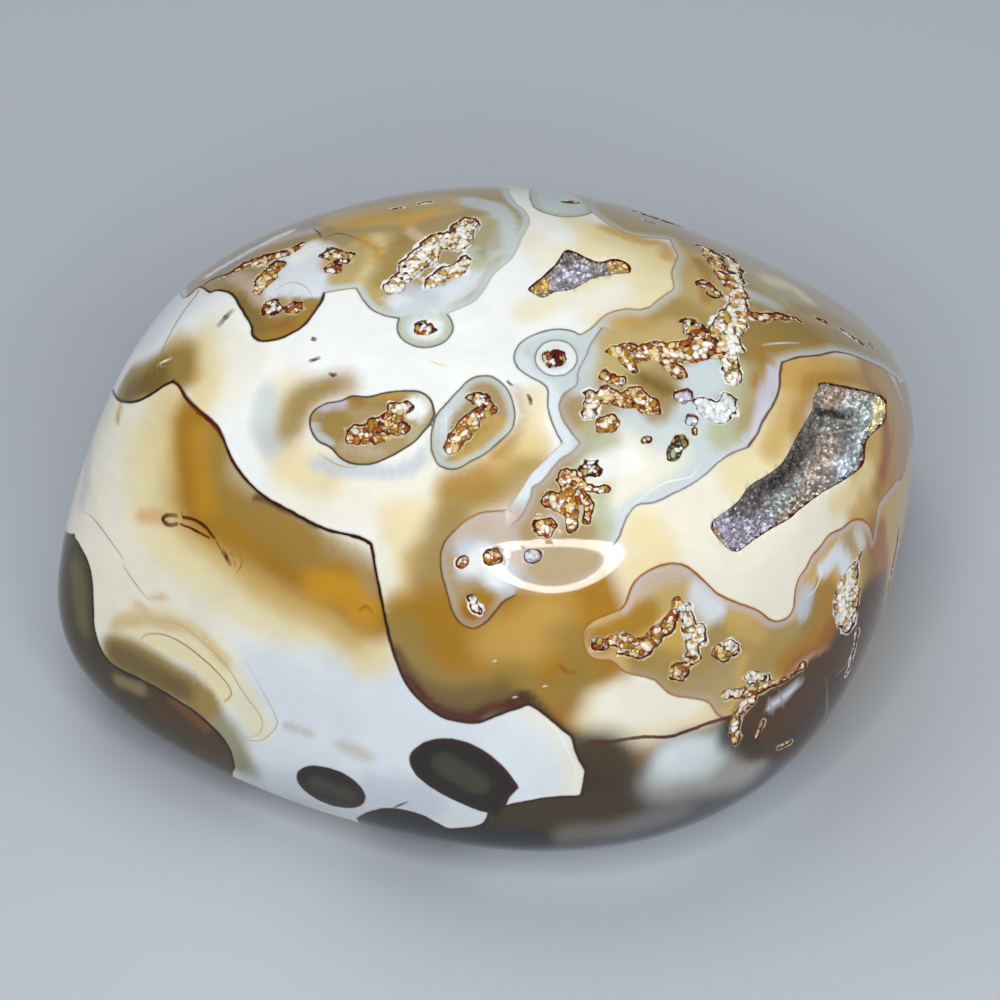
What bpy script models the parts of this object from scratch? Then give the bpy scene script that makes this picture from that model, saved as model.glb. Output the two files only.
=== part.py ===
"""A polished free-form carnelian: a pebble of banded chalcedony with rows of small open tube pits and
two hollows, each of them lined with one crust of small quartz crystals.

Metres, +Z up. The stone stands on its small flat spot at Z = 0, with the middle of its outline in plan
at X = Y = 0, and is longest along X. Its best side is seen from -Y and from above.

Each place on the skin is given in millimetres on a sight plane, a flat sheet through the middle of the
stone that one eye looks at square on: x to that eye's right and y up. The line from the eye through
the place meets the skin where the thing is.
"""

import math
import random

import bmesh
import bpy
import numpy as np

MM = 0.001

# The point inside the stone that its faces are set out from, in mm. Its height is the depth of the
# flat spot under it.
HEART = np.array((-1.475, 0.19, 17.2))

# How crisply two faces meet: 2 would make a ball of them, and 30 would leave sharp ridges
CRISPNESS = 7.0

# The broad faces that grinding left, each with its azimuth and tilt in degrees and its reach from the
# heart in mm. Azimuth 0 looks along +X and 90 along +Y. Neighbours round each other off.
FACES = (
    ("top", 260, 80, 27.5),
    ("crown_east", 0, 45, 47.0),
    ("crown_north_east", 55, 45, 35.0),
    ("crown_north", 110, 45, 34.0),
    ("crown_north_west", 165, 45, 42.0),
    ("crown_south_west", 212, 40, 37.5),
    ("front_west", 240, 20, 30.0),
    ("front", 272, 18, 40.0),
    ("front_east", 300, 22, 37.0),
    ("side_east", 350, 0, 43.5),
    ("side_north_east", 75, 0, 40.5),
    ("side_north", 105, 0, 37.0),
    ("side_north_west", 155, 0, 38.0),
    ("side_west", 180, -5, 62.5),
    ("under_east", 330, -45, 39.0),
    ("under_north", 100, -45, 34.5),
    ("under_west", 225, -45, 49.5),
    ("under_south", 260, -45, 33.5),
    ("keel_east", 20, -68, 27.5),
    ("keel_north", 110, -68, 27.5),
    ("keel_west", 200, -68, 28.5),
    ("keel_south", 290, -68, 28.0),
    ("bottom", 0, -90, 19.0),
)

# The skin starts as a ball of 20 faces, and each level over 1 cuts every face in 4. Edges over this
# many degrees stay sharp.
SKIN_LEVEL = 5
SHARP_ANGLE = 25

# Both eyes stand this far from the stone, in mm. A line from an eye is followed from this share of
# the way to the sight plane, still outside the stone, in this many steps.
EYE_DISTANCE = 400.0
SIGHT_START = 0.8
SIGHT_STEPS = 12

# The front eye's azimuth and tilt in degrees, and how far its plane's middle lies right of and above
# the heart in mm, then the back eye's azimuth and tilt
FRONT_EYE = (270, 50, 2.5, 1.4)
BACK_EYE = (90, 25, 0.0, 0.0)

# The long hollow at the right, from its low left end to its high right end. Each station gives the
# left rim (x, y), the right rim (x, y) and the depth there, in mm on the front sight plane.
LONG_HOLLOW = (
    (21.1, -2.6, 22.5, -4.5, 2.6),
    (22.2, -1.5, 23.7, -5.1, 3.6),
    (23.8, -0.2, 25.2, -4.1, 4.2),
    (25.0, 1.4, 27.0, -2.9, 4.8),
    (26.5, 2.3, 28.8, -1.9, 5.2),
    (28.0, 3.4, 30.5, -0.5, 5.4),
    (29.0, 4.9, 32.4, 0.9, 5.4),
    (29.7, 6.3, 34.5, 2.1, 5.2),
    (30.5, 7.6, 36.3, 3.6, 5.0),
    (31.2, 8.9, 36.7, 6.0, 4.4),
    (31.5, 10.4, 38.4, 7.8, 3.4),
    (31.9, 11.0, 38.6, 9.2, 2.8),
    (32.5, 11.7, 38.0, 10.5, 2.2),
)
LONG_HOLLOW_GRID = (19, 11)
LONG_CRUST_ROWS = slice(2, -2)

# The small three-cornered hollow at the top, from its left end to its right end
SMALL_HOLLOW = (
    (2.9, 21.2, 3.3, 20.7, 1.0),
    (4.1, 22.2, 4.3, 20.3, 1.5),
    (5.6, 23.6, 5.6, 20.9, 2.2),
    (6.5, 24.9, 6.8, 21.0, 2.8),
    (7.5, 24.8, 8.0, 21.5, 2.6),
    (8.7, 24.2, 9.2, 22.2, 2.0),
    (10.0, 23.8, 10.6, 22.5, 1.5),
    (11.5, 24.1, 11.9, 22.7, 1.4),
    (12.8, 23.6, 13.0, 22.8, 1.0),
)
SMALL_HOLLOW_GRID = (13, 7)
SMALL_CRUST_ROWS = slice(3, -3)

# Share of a hollow's width, and its length in mm, over which its floor rounds up to the rim
SIDE_ROUNDING = 0.35
END_ROUNDING = 3.0

# A cutter starts this far above the skin, in mm
CUTTER_LIFT = 1.0

# Crusts of crystals, in mm: the gap to the stone, the crust's thickness, how far its edge stays under
# the skin, its thickness there, and the most of a narrow hollow's width that one side of it takes
CRUST_GAP = 0.45
CRUST_THICKNESS = 0.55
CRUST_SINK = 0.25
CRUST_RIM = 0.4
CRUST_SHARE = 0.36

# The points of the crystals: the most that one stands up in mm and as a share of its own width, and
# the least and most of that which each takes by chance
CRYSTAL_HEIGHT = 0.55
CRYSTAL_SLOPE = 0.5
CRYSTAL_SPREAD = (0.3, 1.0)
CRYSTAL_SEED = 11

# Open ends of tubes, as x, y, length, width and turn: mm on the sight plane, mm and degrees. The
# stone has them in rows and clumps.
FRONT_PITS = (
    # along the vein at the top left
    (-25.0, 22.5, 1.6, 1.2, 40),
    (-23.4, 23.9, 1.4, 1.0, 40),
    (-20.6, 25.3, 1.8, 0.9, 20),
    (-23.0, 19.2, 1.4, 1.4, 0),
    (-20.7, 19.2, 1.2, 1.2, 0),
    (-15.9, 24.9, 2.2, 1.2, 0),
    (-16.7, 23.0, 1.3, 1.1, 0),
    # the pale-rimmed row at the top
    (-10.3, 21.7, 1.8, 1.7, 0),
    (-8.3, 23.8, 3.0, 1.8, 45),
    (-5.4, 25.6, 3.4, 2.2, 30),
    (-3.4, 28.1, 2.4, 1.5, 60),
    (-6.5, 22.0, 1.4, 1.0, 20),
    (-4.4, 23.0, 1.8, 1.2, 40),
    # two lone tubes with haloes
    (-7.6, 17.2, 1.4, 1.4, 0),
    (5.5, 14.2, 1.6, 1.2, 0),
    # the forked row at the right
    (21.5, 23.8, 3.0, 1.9, 115),
    (23.3, 20.8, 2.6, 1.7, 110),
    (24.1, 18.5, 1.7, 1.3, 0),
    (26.6, 18.5, 2.2, 1.0, 5),
    (21.2, 16.5, 2.6, 1.6, 30),
    (18.2, 15.1, 2.6, 1.4, 10),
    (15.2, 14.8, 2.5, 1.2, 0),
    (12.2, 14.8, 2.3, 1.2, 0),
    (23.3, 12.3, 1.8, 1.7, 0),
    (19.6, 10.2, 2.2, 1.6, 0),
    (22.2, 9.3, 1.8, 1.5, 60),
    (17.7, 5.1, 2.2, 1.5, 60),
    # the clump left of the fork
    (11.3, 12.3, 2.2, 1.1, -25),
    (9.7, 10.2, 2.2, 1.8, 60),
    (12.7, 9.8, 2.2, 1.3, 10),
    (15.1, 9.2, 1.6, 1.2, -30),
    (10.8, 7.6, 1.9, 1.4, 15),
    # the two rows with oval haloes in the middle
    (-14.0, 6.8, 1.9, 1.7, 0),
    (-11.8, 7.9, 2.0, 1.1, 25),
    (-9.5, 9.2, 1.8, 1.3, 30),
    (-10.0, 7.2, 1.3, 1.1, 0),
    (-4.3, 6.1, 2.4, 1.4, 55),
    (-2.7, 8.3, 2.0, 1.3, 55),
    (-1.5, 10.4, 1.8, 1.5, 60),
    # the clump above the ridge
    (9.0, 3.4, 1.7, 1.7, 0),
    (6.8, 1.0, 2.8, 2.0, -20),
    (9.9, 0.9, 1.5, 0.9, 0),
    (7.2, -1.8, 2.2, 1.5, 70),
    (4.5, -2.8, 1.8, 1.7, 0),
    (-0.8, -5.6, 1.4, 1.3, 0),
    (3.4, -5.5, 1.4, 1.4, 0),
    (-2.6, -10.6, 1.6, 1.4, 60),
    # the clumps at the lower right
    (10.3, -14.6, 2.0, 1.3, 10),
    (13.2, -14.8, 2.6, 1.8, 20),
    (16.0, -13.3, 1.9, 1.2, 35),
    (18.0, -10.8, 2.0, 1.5, 120),
    (19.2, -13.3, 2.2, 1.5, 100),
    (19.4, -15.9, 1.7, 1.2, 90),
    (17.8, -17.3, 1.3, 1.2, 0),
    (22.8, -15.0, 2.4, 1.5, 10),
    (25.6, -17.9, 2.3, 1.2, -10),
    (23.2, -19.2, 1.6, 1.4, 0),
    (25.3, -20.1, 1.6, 1.5, 60),
    (23.4, -23.3, 2.2, 1.1, 95),
    (26.1, -23.0, 2.0, 0.9, 70),
    (30.2, -16.8, 1.4, 1.0, 30),
    # the row down the right edge
    (34.7, -8.4, 2.4, 1.7, 80),
    (34.6, -11.3, 2.2, 1.8, 100),
    (35.6, -14.1, 1.6, 0.9, 80),
    # the open slit in the pale face at the left
    (-32.8, -2.0, 1.2, 0.8, 0),
    (-30.3, -2.6, 2.6, 0.7, -30),
)

# The far side has fewer of them
BACK_PITS = (
    (-22.0, 10.5, 2.2, 1.4, 35),
    (-19.6, 12.2, 1.8, 1.3, 40),
    (-17.3, 13.0, 1.4, 1.0, 0),
    (14.6, 6.0, 2.4, 1.5, -20),
    (17.2, 4.6, 1.9, 1.4, -30),
    (19.4, 3.2, 1.4, 1.1, 0),
    (16.0, 1.8, 1.5, 1.4, 0),
    (-4.0, 2.0, 1.5, 1.4, 0),
    (-12.5, -5.0, 2.0, 1.3, 60),
    (-11.2, -7.4, 1.6, 1.2, 70),
)

# A pit is a ring-shaped dip around a low lump. Rings of the cutter, as a share of the pit's width and
# a height above the skin in shares of its depth, then the height of the lump.
PIT_DEPTH_SHARE = 0.5
PIT_DEPTH_MOST = 0.9
PIT_MOUTH = 1.25
PIT_MOUTH_LIFT = 0.5
PIT_DIP = 0.62
PIT_LUMP = 0.3
PIT_SIDES_SMALL = 6
PIT_SIDES_LARGE = 8
PIT_LARGE = 1.6

# Colour as red, green and blue, then roughness
STONE_FINISH = ((0.80, 0.70, 0.50), 0.08)
CRUST_FINISH = ((0.34, 0.31, 0.30), 0.35)


def direction(azimuth, tilt):
    """The unit vector at an azimuth and tilt in degrees."""
    around = math.radians(azimuth)
    rise = math.radians(tilt)
    return np.array((
        math.cos(around) * math.cos(rise),
        math.sin(around) * math.cos(rise),
        math.sin(rise),
    ))


FACE_PULLS = np.array([direction(azimuth, tilt) / reach for _, azimuth, tilt, reach in FACES])


def gauge(points):
    """How far out points are, in mm from the heart, where 1 is on the skin, and the slope of that.

    Each face gives the share of its reach that the point has come, and the shares are joined as the
    root of a sum of powers, which rounds the edge between two faces.
    """
    shares = np.maximum(points @ FACE_PULLS.T, 0.0)
    value = (shares ** CRISPNESS).sum(-1) ** (1 / CRISPNESS)
    weights = (shares / value[..., None]) ** (CRISPNESS - 1)
    return value, weights @ FACE_PULLS


def skin_normal(points):
    """The unit vectors square to the skin, pointing out, at points in mm."""
    slope = gauge(points - HEART)[1]
    return slope / np.linalg.norm(slope, axis=-1, keepdims=True)


class Sight:
    """An eye that looks at a sight plane through a point of the stone."""

    def __init__(self, azimuth, tilt, right, up):
        self.out = direction(azimuth, tilt)
        self.right = direction(azimuth + 90, 0)
        self.up = np.cross(self.out, self.right)
        self.middle = HEART + right * self.right + up * self.up

    def meet(self, places):
        """Where the lines through places, x and y in mm, first meet the skin, by Newton's steps."""
        eye = self.middle + EYE_DISTANCE * self.out
        target = self.middle + places[..., :1] * self.right + places[..., 1:2] * self.up
        line = target - eye
        point = eye + SIGHT_START * line
        for _ in range(SIGHT_STEPS):
            value, slope = gauge(point - HEART)
            step = (1 - value) / (slope * line).sum(-1)
            point = point + step[..., None] * line
        return point


FRONT = Sight(*FRONT_EYE)
BACK = Sight(*BACK_EYE)


def finish(name, colour, roughness):
    """A plain material of one colour."""
    material = bpy.data.materials.new(name)
    material.use_nodes = True
    shader = material.node_tree.nodes["Principled BSDF"]
    shader.inputs["Base Color"].default_value = (*colour, 1.0)
    shader.inputs["Roughness"].default_value = roughness
    shader.inputs["Metallic"].default_value = 0.0
    return material


def mesh_object(name, points, faces):
    """An object whose mesh has those points, in mm, and faces."""
    mesh = bpy.data.meshes.new(name)
    mesh.from_pydata((np.asarray(points) * MM).tolist(), [], faces)
    mesh.validate()
    thing = bpy.data.objects.new(name, mesh)
    bpy.context.scene.collection.objects.link(thing)
    return thing


def grid_faces(rows, columns, first=0, turned=False):
    """The four-sided faces of a grid of points whose numbers start at first."""
    faces = []
    for row in range(rows - 1):
        for column in range(columns - 1):
            corner = first + row * columns + column
            face = (corner, corner + 1, corner + columns + 1, corner + columns)
            faces.append(face[::-1] if turned else face)
    return faces


def grid_edge(rows, columns):
    """The numbers of a grid's edge points in order, going round as its faces do."""
    near = list(range(columns))
    right = [row * columns + columns - 1 for row in range(1, rows)]
    far = [(rows - 1) * columns + column for column in range(columns - 2, -1, -1)]
    left = [row * columns for row in range(rows - 2, 0, -1)]
    return near + right + far + left


def slab(name, upper, lower):
    """A closed object between two grids of points of the same size, the upper one further out."""
    rows, columns = upper.shape[:2]
    count = rows * columns
    faces = grid_faces(rows, columns, turned=True)
    faces += grid_faces(rows, columns, first=count)
    edge = grid_edge(rows, columns)
    for here, ahead in zip(edge, edge[1:] + edge[:1]):
        faces.append((here, ahead, ahead + count, here + count))
    points = np.concatenate((upper.reshape(-1, 3), lower.reshape(-1, 3)))
    return mesh_object(name, points, faces)


def face_outward(thing):
    """Turn every face of a closed object outward."""
    work = bmesh.new()
    work.from_mesh(thing.data)
    bmesh.ops.recalc_face_normals(work, faces=work.faces)
    work.to_mesh(thing.data)
    work.free()


def rounding(distance, reach):
    """A quarter round: 0 at a rim and 1 from reach inward."""
    part = np.clip(distance / reach, 0.0, 1.0)
    return np.sqrt(1 - (1 - part) ** 2)


def crowded(count):
    """Places from 0 to 1 that crowd towards both ends."""
    return (1 - np.cos(np.linspace(0, math.pi, count))) / 2


def hollow_places(stations, grid, inset=0.0):
    """The grid of places on the skin over a hollow's wall, the depth under each and the way out.

    Along runs from one end to the other and across from the left rim to the right rim. The depth at
    a place is the station's depth, rounded up to the rims, and is measured square to the skin at the
    hollow's middle. With an inset the whole grid is drawn in from the rims by that many mm.
    """
    table = np.array(stations)
    numbers = range(len(table))
    along, across = crowded(grid[0]), crowded(grid[1])
    length = np.linalg.norm(table[-1, 0:2] - table[0, 0:2])
    to_side = np.minimum(across, 1 - across)
    to_end = np.minimum(along, 1 - along)[:, None] * length
    floor = np.interp(along * numbers[-1], numbers, table[:, 4])[:, None]
    depth = floor * rounding(to_side, SIDE_ROUNDING) * rounding(to_end, END_ROUNDING)
    along = 0.5 + (along - 0.5) * (1 - 2 * inset / length)
    rims = np.stack([np.interp(along * numbers[-1], numbers, rim) for rim in table[:, :4].T], -1)
    left, right = rims[:, None, 0:2], rims[:, None, 2:4]
    width = np.linalg.norm(right - left, axis=-1)
    side = np.minimum(inset, CRUST_SHARE * width)
    across = 0.5 + (across - 0.5) * (1 - 2 * side / width)
    skin = FRONT.meet(left + (right - left) * across[..., None])
    outward = skin_normal(skin).mean((0, 1))
    return skin, depth, outward / np.linalg.norm(outward)


def hollow_cutter(name, stations, grid):
    """What is ground out of the stone for a hollow."""
    skin, depth, outward = hollow_places(stations, grid)
    cutter = slab(name, skin + CUTTER_LIFT * outward, skin - depth[..., None] * outward)
    face_outward(cutter)
    hide(cutter)
    return cutter


def crust_layer(stations, grid, rows, inset, rim_depth):
    """The grid of points of a crust's upper or lower side, which comes up to rim_depth at its edge."""
    skin, depth, outward = hollow_places(stations, grid, inset)
    depth = np.maximum(depth - inset, rim_depth)[rows, 1:-1]
    depth[[0, -1], :] = rim_depth
    depth[:, [0, -1]] = rim_depth
    return skin[rows, 1:-1] - depth[..., None] * outward


def crust(name, stations, grid, rows, material):
    """The crystals that line a hollow: a thin bowl with a flat-faced point on each cell of its top."""
    upper = crust_layer(stations, grid, rows, CRUST_GAP + CRUST_THICKNESS, CRUST_SINK)
    lower = crust_layer(stations, grid, rows, CRUST_GAP, CRUST_SINK + CRUST_RIM)
    thing = slab(name, upper, lower)
    face_outward(thing)
    chance = random.Random(CRYSTAL_SEED)
    work = bmesh.new()
    work.from_mesh(thing.data)
    cells = (upper.shape[0] - 1) * (upper.shape[1] - 1)
    for face in list(work.faces)[:cells]:
        height = min(CRYSTAL_HEIGHT * MM, CRYSTAL_SLOPE * math.sqrt(face.calc_area()))
        normal = face.normal.copy()
        tip = bmesh.ops.poke(work, faces=[face])["verts"][0]
        tip.co += normal * height * chance.uniform(*CRYSTAL_SPREAD)
    work.to_mesh(thing.data)
    work.free()
    thing.data.materials.append(material)
    return thing


def pit_rings(sight, pit):
    """The points of one pit's cutter: a mouth above the skin, a dip, and the lump's top."""
    x, y, length, width, turn = pit
    centre = sight.meet(np.array((x, y)))
    out = skin_normal(centre)
    angle = math.radians(turn)
    along = math.cos(angle) * sight.right + math.sin(angle) * sight.up
    along -= (along @ out) * out
    along /= np.linalg.norm(along)
    across = np.cross(out, along)
    sides = PIT_SIDES_LARGE if length > PIT_LARGE else PIT_SIDES_SMALL
    turns = np.arange(sides) * 2 * math.pi / sides
    oval = np.outer(np.cos(turns), along) * length / 2 + np.outer(np.sin(turns), across) * width / 2
    depth = min(PIT_DEPTH_SHARE * width, PIT_DEPTH_MOST)
    mouth = centre + PIT_MOUTH * oval + PIT_MOUTH_LIFT * depth * out
    dip = centre + PIT_DIP * oval - depth * out
    lump = centre - PIT_LUMP * depth * out
    return mouth, dip, lump


def pit_cutter(name, groups):
    """One cutter for all the pits, as many closed bowls that do not touch each other."""
    points, faces = [], []
    for sight, pits in groups:
        for pit in pits:
            mouth, dip, lump = pit_rings(sight, pit)
            first = len(points)
            sides = len(mouth)
            points += [*mouth, *dip, lump]
            faces.append(tuple(range(first, first + sides)))
            for side in range(sides):
                ahead = (side + 1) % sides
                low, low_ahead = first + sides + side, first + sides + ahead
                faces.append((first + ahead, first + side, low, low_ahead))
                faces.append((low_ahead, low, first + 2 * sides))
    cutter = mesh_object(name, points, faces)
    face_outward(cutter)
    hide(cutter)
    return cutter


def hide(cutter):
    """Show a cutter as wires only, and leave it out of the finished thing."""
    cutter.hide_render = True
    cutter.display_type = "WIRE"


def stone_blank(material):
    """The stone before its pits and hollows: a ball drawn out to the skin and cut flat below."""
    work = bmesh.new()
    bmesh.ops.create_icosphere(work, subdivisions=SKIN_LEVEL, radius=1.0)
    ways = np.array([vert.co for vert in work.verts])
    skin = HEART + ways / gauge(ways)[0][:, None]
    for vert, point in zip(work.verts, skin * MM):
        vert.co = point
    geometry = [*work.verts, *work.edges, *work.faces]
    cut = bmesh.ops.bisect_plane(
        work, geom=geometry, plane_co=(0, 0, 0), plane_no=(0, 0, 1), clear_inner=True,
    )
    rim = [item for item in cut["geom_cut"] if isinstance(item, bmesh.types.BMEdge)]
    bmesh.ops.edgeloop_fill(work, edges=rim)
    bmesh.ops.recalc_face_normals(work, faces=work.faces)
    mesh = bpy.data.meshes.new("stone")
    work.to_mesh(mesh)
    work.free()
    stone = bpy.data.objects.new("stone", mesh)
    bpy.context.scene.collection.objects.link(stone)
    mesh.materials.append(material)
    return stone


def cut(stone, cutter):
    """Take a cutter's form out of the stone."""
    boolean = stone.modifiers.new(cutter.name, "BOOLEAN")
    boolean.object = cutter
    boolean.operation = "DIFFERENCE"
    boolean.solver = "EXACT"


def main():
    """Build the stone and its two crusts."""
    for thing in list(bpy.data.objects):
        bpy.data.objects.remove(thing, do_unlink=True)
    polished = finish("polished_chalcedony", *STONE_FINISH)
    quartz = finish("grey_quartz_crystals", *CRUST_FINISH)
    stone = stone_blank(polished)
    cut(stone, hollow_cutter("long_hollow_cutter", LONG_HOLLOW, LONG_HOLLOW_GRID))
    cut(stone, hollow_cutter("small_hollow_cutter", SMALL_HOLLOW, SMALL_HOLLOW_GRID))
    cut(stone, pit_cutter("pit_cutter", ((FRONT, FRONT_PITS), (BACK, BACK_PITS))))
    stone.data.shade_smooth()
    stone.data.set_sharp_from_angle(angle=math.radians(SHARP_ANGLE))
    crust("druse_long_hollow", LONG_HOLLOW, LONG_HOLLOW_GRID, LONG_CRUST_ROWS, quartz)
    crust("druse_small_hollow", SMALL_HOLLOW, SMALL_HOLLOW_GRID, SMALL_CRUST_ROWS, quartz)


main()
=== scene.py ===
"""The looks of a polished free-form carnelian: its banded skin, the lumpy linings of its open tubes and
the quartz crystals in its two hollows, with a pale floor, soft lights and a camera.

Lengths are millimetres until a mesh is written. A marking on the best side is placed on the sight
sheet, a 100 mm square seen square on by one eye: x in tenths of a millimetre from its left edge and y
down from its top edge. The line from the eye through the place meets the skin where the marking is.
A marking on a hidden side is placed by its azimuth and tilt in degrees, as seen from the heart.
"""

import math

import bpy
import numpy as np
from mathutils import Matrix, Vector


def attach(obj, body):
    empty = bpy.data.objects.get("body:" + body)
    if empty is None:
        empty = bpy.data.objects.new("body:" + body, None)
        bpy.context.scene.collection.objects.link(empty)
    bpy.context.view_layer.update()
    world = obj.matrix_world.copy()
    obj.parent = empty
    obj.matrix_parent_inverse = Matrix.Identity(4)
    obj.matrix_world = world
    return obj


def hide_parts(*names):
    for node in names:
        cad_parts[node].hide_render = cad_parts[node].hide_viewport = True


bl_info = {
    "name": "Banded Carnelian",
    "version": (1, 0, 0),
    "blender": (4, 5, 0),
    "location": "View3D > Sidebar > Carnelian",
    "description": "Builds the finish of a polished carnelian around its packed solids",
    "category": "Add Mesh",
}

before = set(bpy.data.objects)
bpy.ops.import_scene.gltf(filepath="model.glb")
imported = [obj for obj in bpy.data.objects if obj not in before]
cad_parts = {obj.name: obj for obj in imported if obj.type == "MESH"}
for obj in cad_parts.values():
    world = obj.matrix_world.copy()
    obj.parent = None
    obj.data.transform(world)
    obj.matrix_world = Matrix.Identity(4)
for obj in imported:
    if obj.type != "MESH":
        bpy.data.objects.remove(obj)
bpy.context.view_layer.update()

MM = 0.001

# The stone's form, as its solid has it: the point its faces are set out from, how crisply they meet,
# and each face's azimuth and tilt in degrees and reach in mm
HEART = np.array((-1.475, 0.19, 17.2))
CRISPNESS = 7.0
FACES = (
    ("top", 260, 80, 27.5),
    ("crown_east", 0, 45, 47.0),
    ("crown_north_east", 55, 45, 35.0),
    ("crown_north", 110, 45, 34.0),
    ("crown_north_west", 165, 45, 42.0),
    ("crown_south_west", 212, 40, 37.5),
    ("front_west", 240, 20, 30.0),
    ("front", 272, 18, 40.0),
    ("front_east", 300, 22, 37.0),
    ("side_east", 350, 0, 43.5),
    ("side_north_east", 75, 0, 40.5),
    ("side_north", 105, 0, 37.0),
    ("side_north_west", 155, 0, 38.0),
    ("side_west", 180, -5, 62.5),
    ("under_east", 330, -45, 39.0),
    ("under_north", 100, -45, 34.5),
    ("under_west", 225, -45, 49.5),
    ("under_south", 260, -45, 33.5),
    ("keel_east", 20, -68, 27.5),
    ("keel_north", 110, -68, 27.5),
    ("keel_west", 200, -68, 28.5),
    ("keel_south", 290, -68, 28.0),
    ("bottom", 0, -90, 19.0),
)

# How crisply the flat spot under the stone cuts the rounded skin
FLAT_CRISPNESS = 60.0

# The eye: its azimuth and tilt in degrees, its distance, and how far the sheet's middle lies right of
# and above the heart
EYE_TURN = (270, 50)
EYE_DISTANCE = 400.0
SHEET_MIDDLE = (2.5, 1.4)
SHEET_SIZE = 1000
SHEET_UNIT = 0.1
SIGHT_START = 0.8
SIGHT_STEPS = 12

# Colours as red, green and blue from 0 to 255
PALETTE = {
    "milk": (246, 249, 247),
    "ivory": (244, 240, 222),
    "cream": (240, 229, 184),
    "butter": (230, 205, 140),
    "honey": (208, 170, 92),
    "amber": (170, 124, 38),
    "gold": (204, 150, 40),
    "olive": (158, 132, 68),
    "moss": (126, 118, 66),
    "taupe": (174, 152, 108),
    "umber": (78, 52, 22),
    "peat": (52, 42, 32),
    "shadow_slate": (34, 34, 34),
    "ash": (156, 154, 150),
    "mist": (205, 217, 218),
    "sage": (186, 188, 150),
    "frost": (226, 234, 240),
    "steel": (198, 208, 220),
    "lilac": (206, 202, 220),
    "orange": (222, 166, 92),
    "rust": (158, 78, 26),
    "line": (58, 24, 8),
    "pearl": (214, 215, 208),
    "bog": (64, 52, 24),
    "blush": (203, 186, 172),
    "cocoa": (32, 19, 12),
    "fern": (62, 60, 42),
    "flame": (228, 170, 66),
    "ember": (160, 100, 30),
    "rose": (228, 194, 164),
    "maroon": (84, 26, 8),
    "khaki": (196, 172, 116),
    "straw": (236, 218, 164),
    "granite": (138, 132, 130),
    "underside_shade": (84, 84, 86),
    "soot": (52, 48, 46),
}

# The two hollows: each station's left rim, right rim on the sheet, and its depth in mm
LONG_HOLLOW = (
    (711, 526, 725, 545, 2.6),
    (722, 515, 737, 551, 3.6),
    (738, 502, 752, 541, 4.2),
    (750, 486, 770, 529, 4.8),
    (765, 477, 788, 519, 5.2),
    (780, 466, 805, 505, 5.4),
    (790, 451, 824, 491, 5.4),
    (797, 437, 845, 479, 5.2),
    (805, 424, 863, 464, 5.0),
    (812, 411, 867, 440, 4.4),
    (815, 396, 884, 422, 3.4),
    (819, 390, 886, 408, 2.8),
    (825, 383, 880, 395, 2.2),
)
SMALL_HOLLOW = (
    (529, 288, 533, 293, 1.0),
    (541, 278, 543, 297, 1.5),
    (556, 264, 556, 291, 2.2),
    (565, 251, 568, 290, 2.8),
    (575, 252, 580, 285, 2.6),
    (587, 258, 592, 278, 2.0),
    (600, 262, 606, 275, 1.5),
    (615, 259, 619, 273, 1.4),
    (628, 264, 630, 272, 1.0),
)

# How a hollow rounds up to its rim: the share of its width that each side takes, the length in mm
# that each end of its crust takes, the most in mm that its wall takes, and the wall's least depth
# with the way in from the rim that this takes
SIDE_ROUNDING = 0.35
END_ROUNDING = 3.0
WALL_REACH = 1.0
WALL_LEAST = 0.75
WALL_LEAST_REACH = 0.25


def linear(colour):
    """A colour from 0 to 255 as the share of light that it sends back."""
    share = np.array(colour) / 255
    return np.where(share <= 0.04045, share / 12.92, ((share + 0.055) / 1.055) ** 2.4)


def direction(azimuth, tilt):
    """The unit vectors at azimuths and tilts in degrees."""
    around, rise = np.radians(azimuth), np.radians(tilt)
    return np.stack((np.cos(around) * np.cos(rise), np.sin(around) * np.cos(rise), np.sin(rise)), -1)


def unit(vectors):
    """Vectors brought to length 1."""
    return vectors / np.linalg.norm(vectors, axis=-1, keepdims=True)


def smooth(value, low, high):
    """0 below low and 1 above high, with an S-shaped rise between."""
    part = np.clip((value - low) / (high - low), 0.0, 1.0)
    return part * part * (3 - 2 * part)


FACE_PULLS = np.array([direction(azimuth, tilt) / reach for _, azimuth, tilt, reach in FACES])


def gauge(points):
    """How far out points are from the heart, where 1 is on the skin, and the slope of that.

    Each face gives the share of its reach that the point has come, and the shares are joined as the
    root of a sum of powers, which rounds the edge between two faces.
    """
    shares = np.maximum(points @ FACE_PULLS.T, 0.0)
    value = (shares ** CRISPNESS).sum(-1) ** (1 / CRISPNESS)
    weights = (shares / value[..., None]) ** (CRISPNESS - 1)
    return value, weights @ FACE_PULLS


def skin_point(ways):
    """The points of the skin along unit vectors from the heart, with the flat spot ground off below."""
    round_share = gauge(ways)[0]
    flat_share = np.maximum(-ways[..., 2] / HEART[2], 0.0)
    share = (round_share ** FLAT_CRISPNESS + flat_share ** FLAT_CRISPNESS) ** (1 / FLAT_CRISPNESS)
    return HEART + ways / share[..., None]


def skin_normal(points):
    """The unit vectors square to the skin, pointing out."""
    return unit(gauge(points - HEART)[1])


EYE_OUT = direction(*EYE_TURN)
EYE_RIGHT = direction(EYE_TURN[0] + 90, 0)
EYE_UP = np.cross(EYE_OUT, EYE_RIGHT)
SHEET_HEART = HEART + SHEET_MIDDLE[0] * EYE_RIGHT + SHEET_MIDDLE[1] * EYE_UP
EYE = SHEET_HEART + EYE_DISTANCE * EYE_OUT


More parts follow.
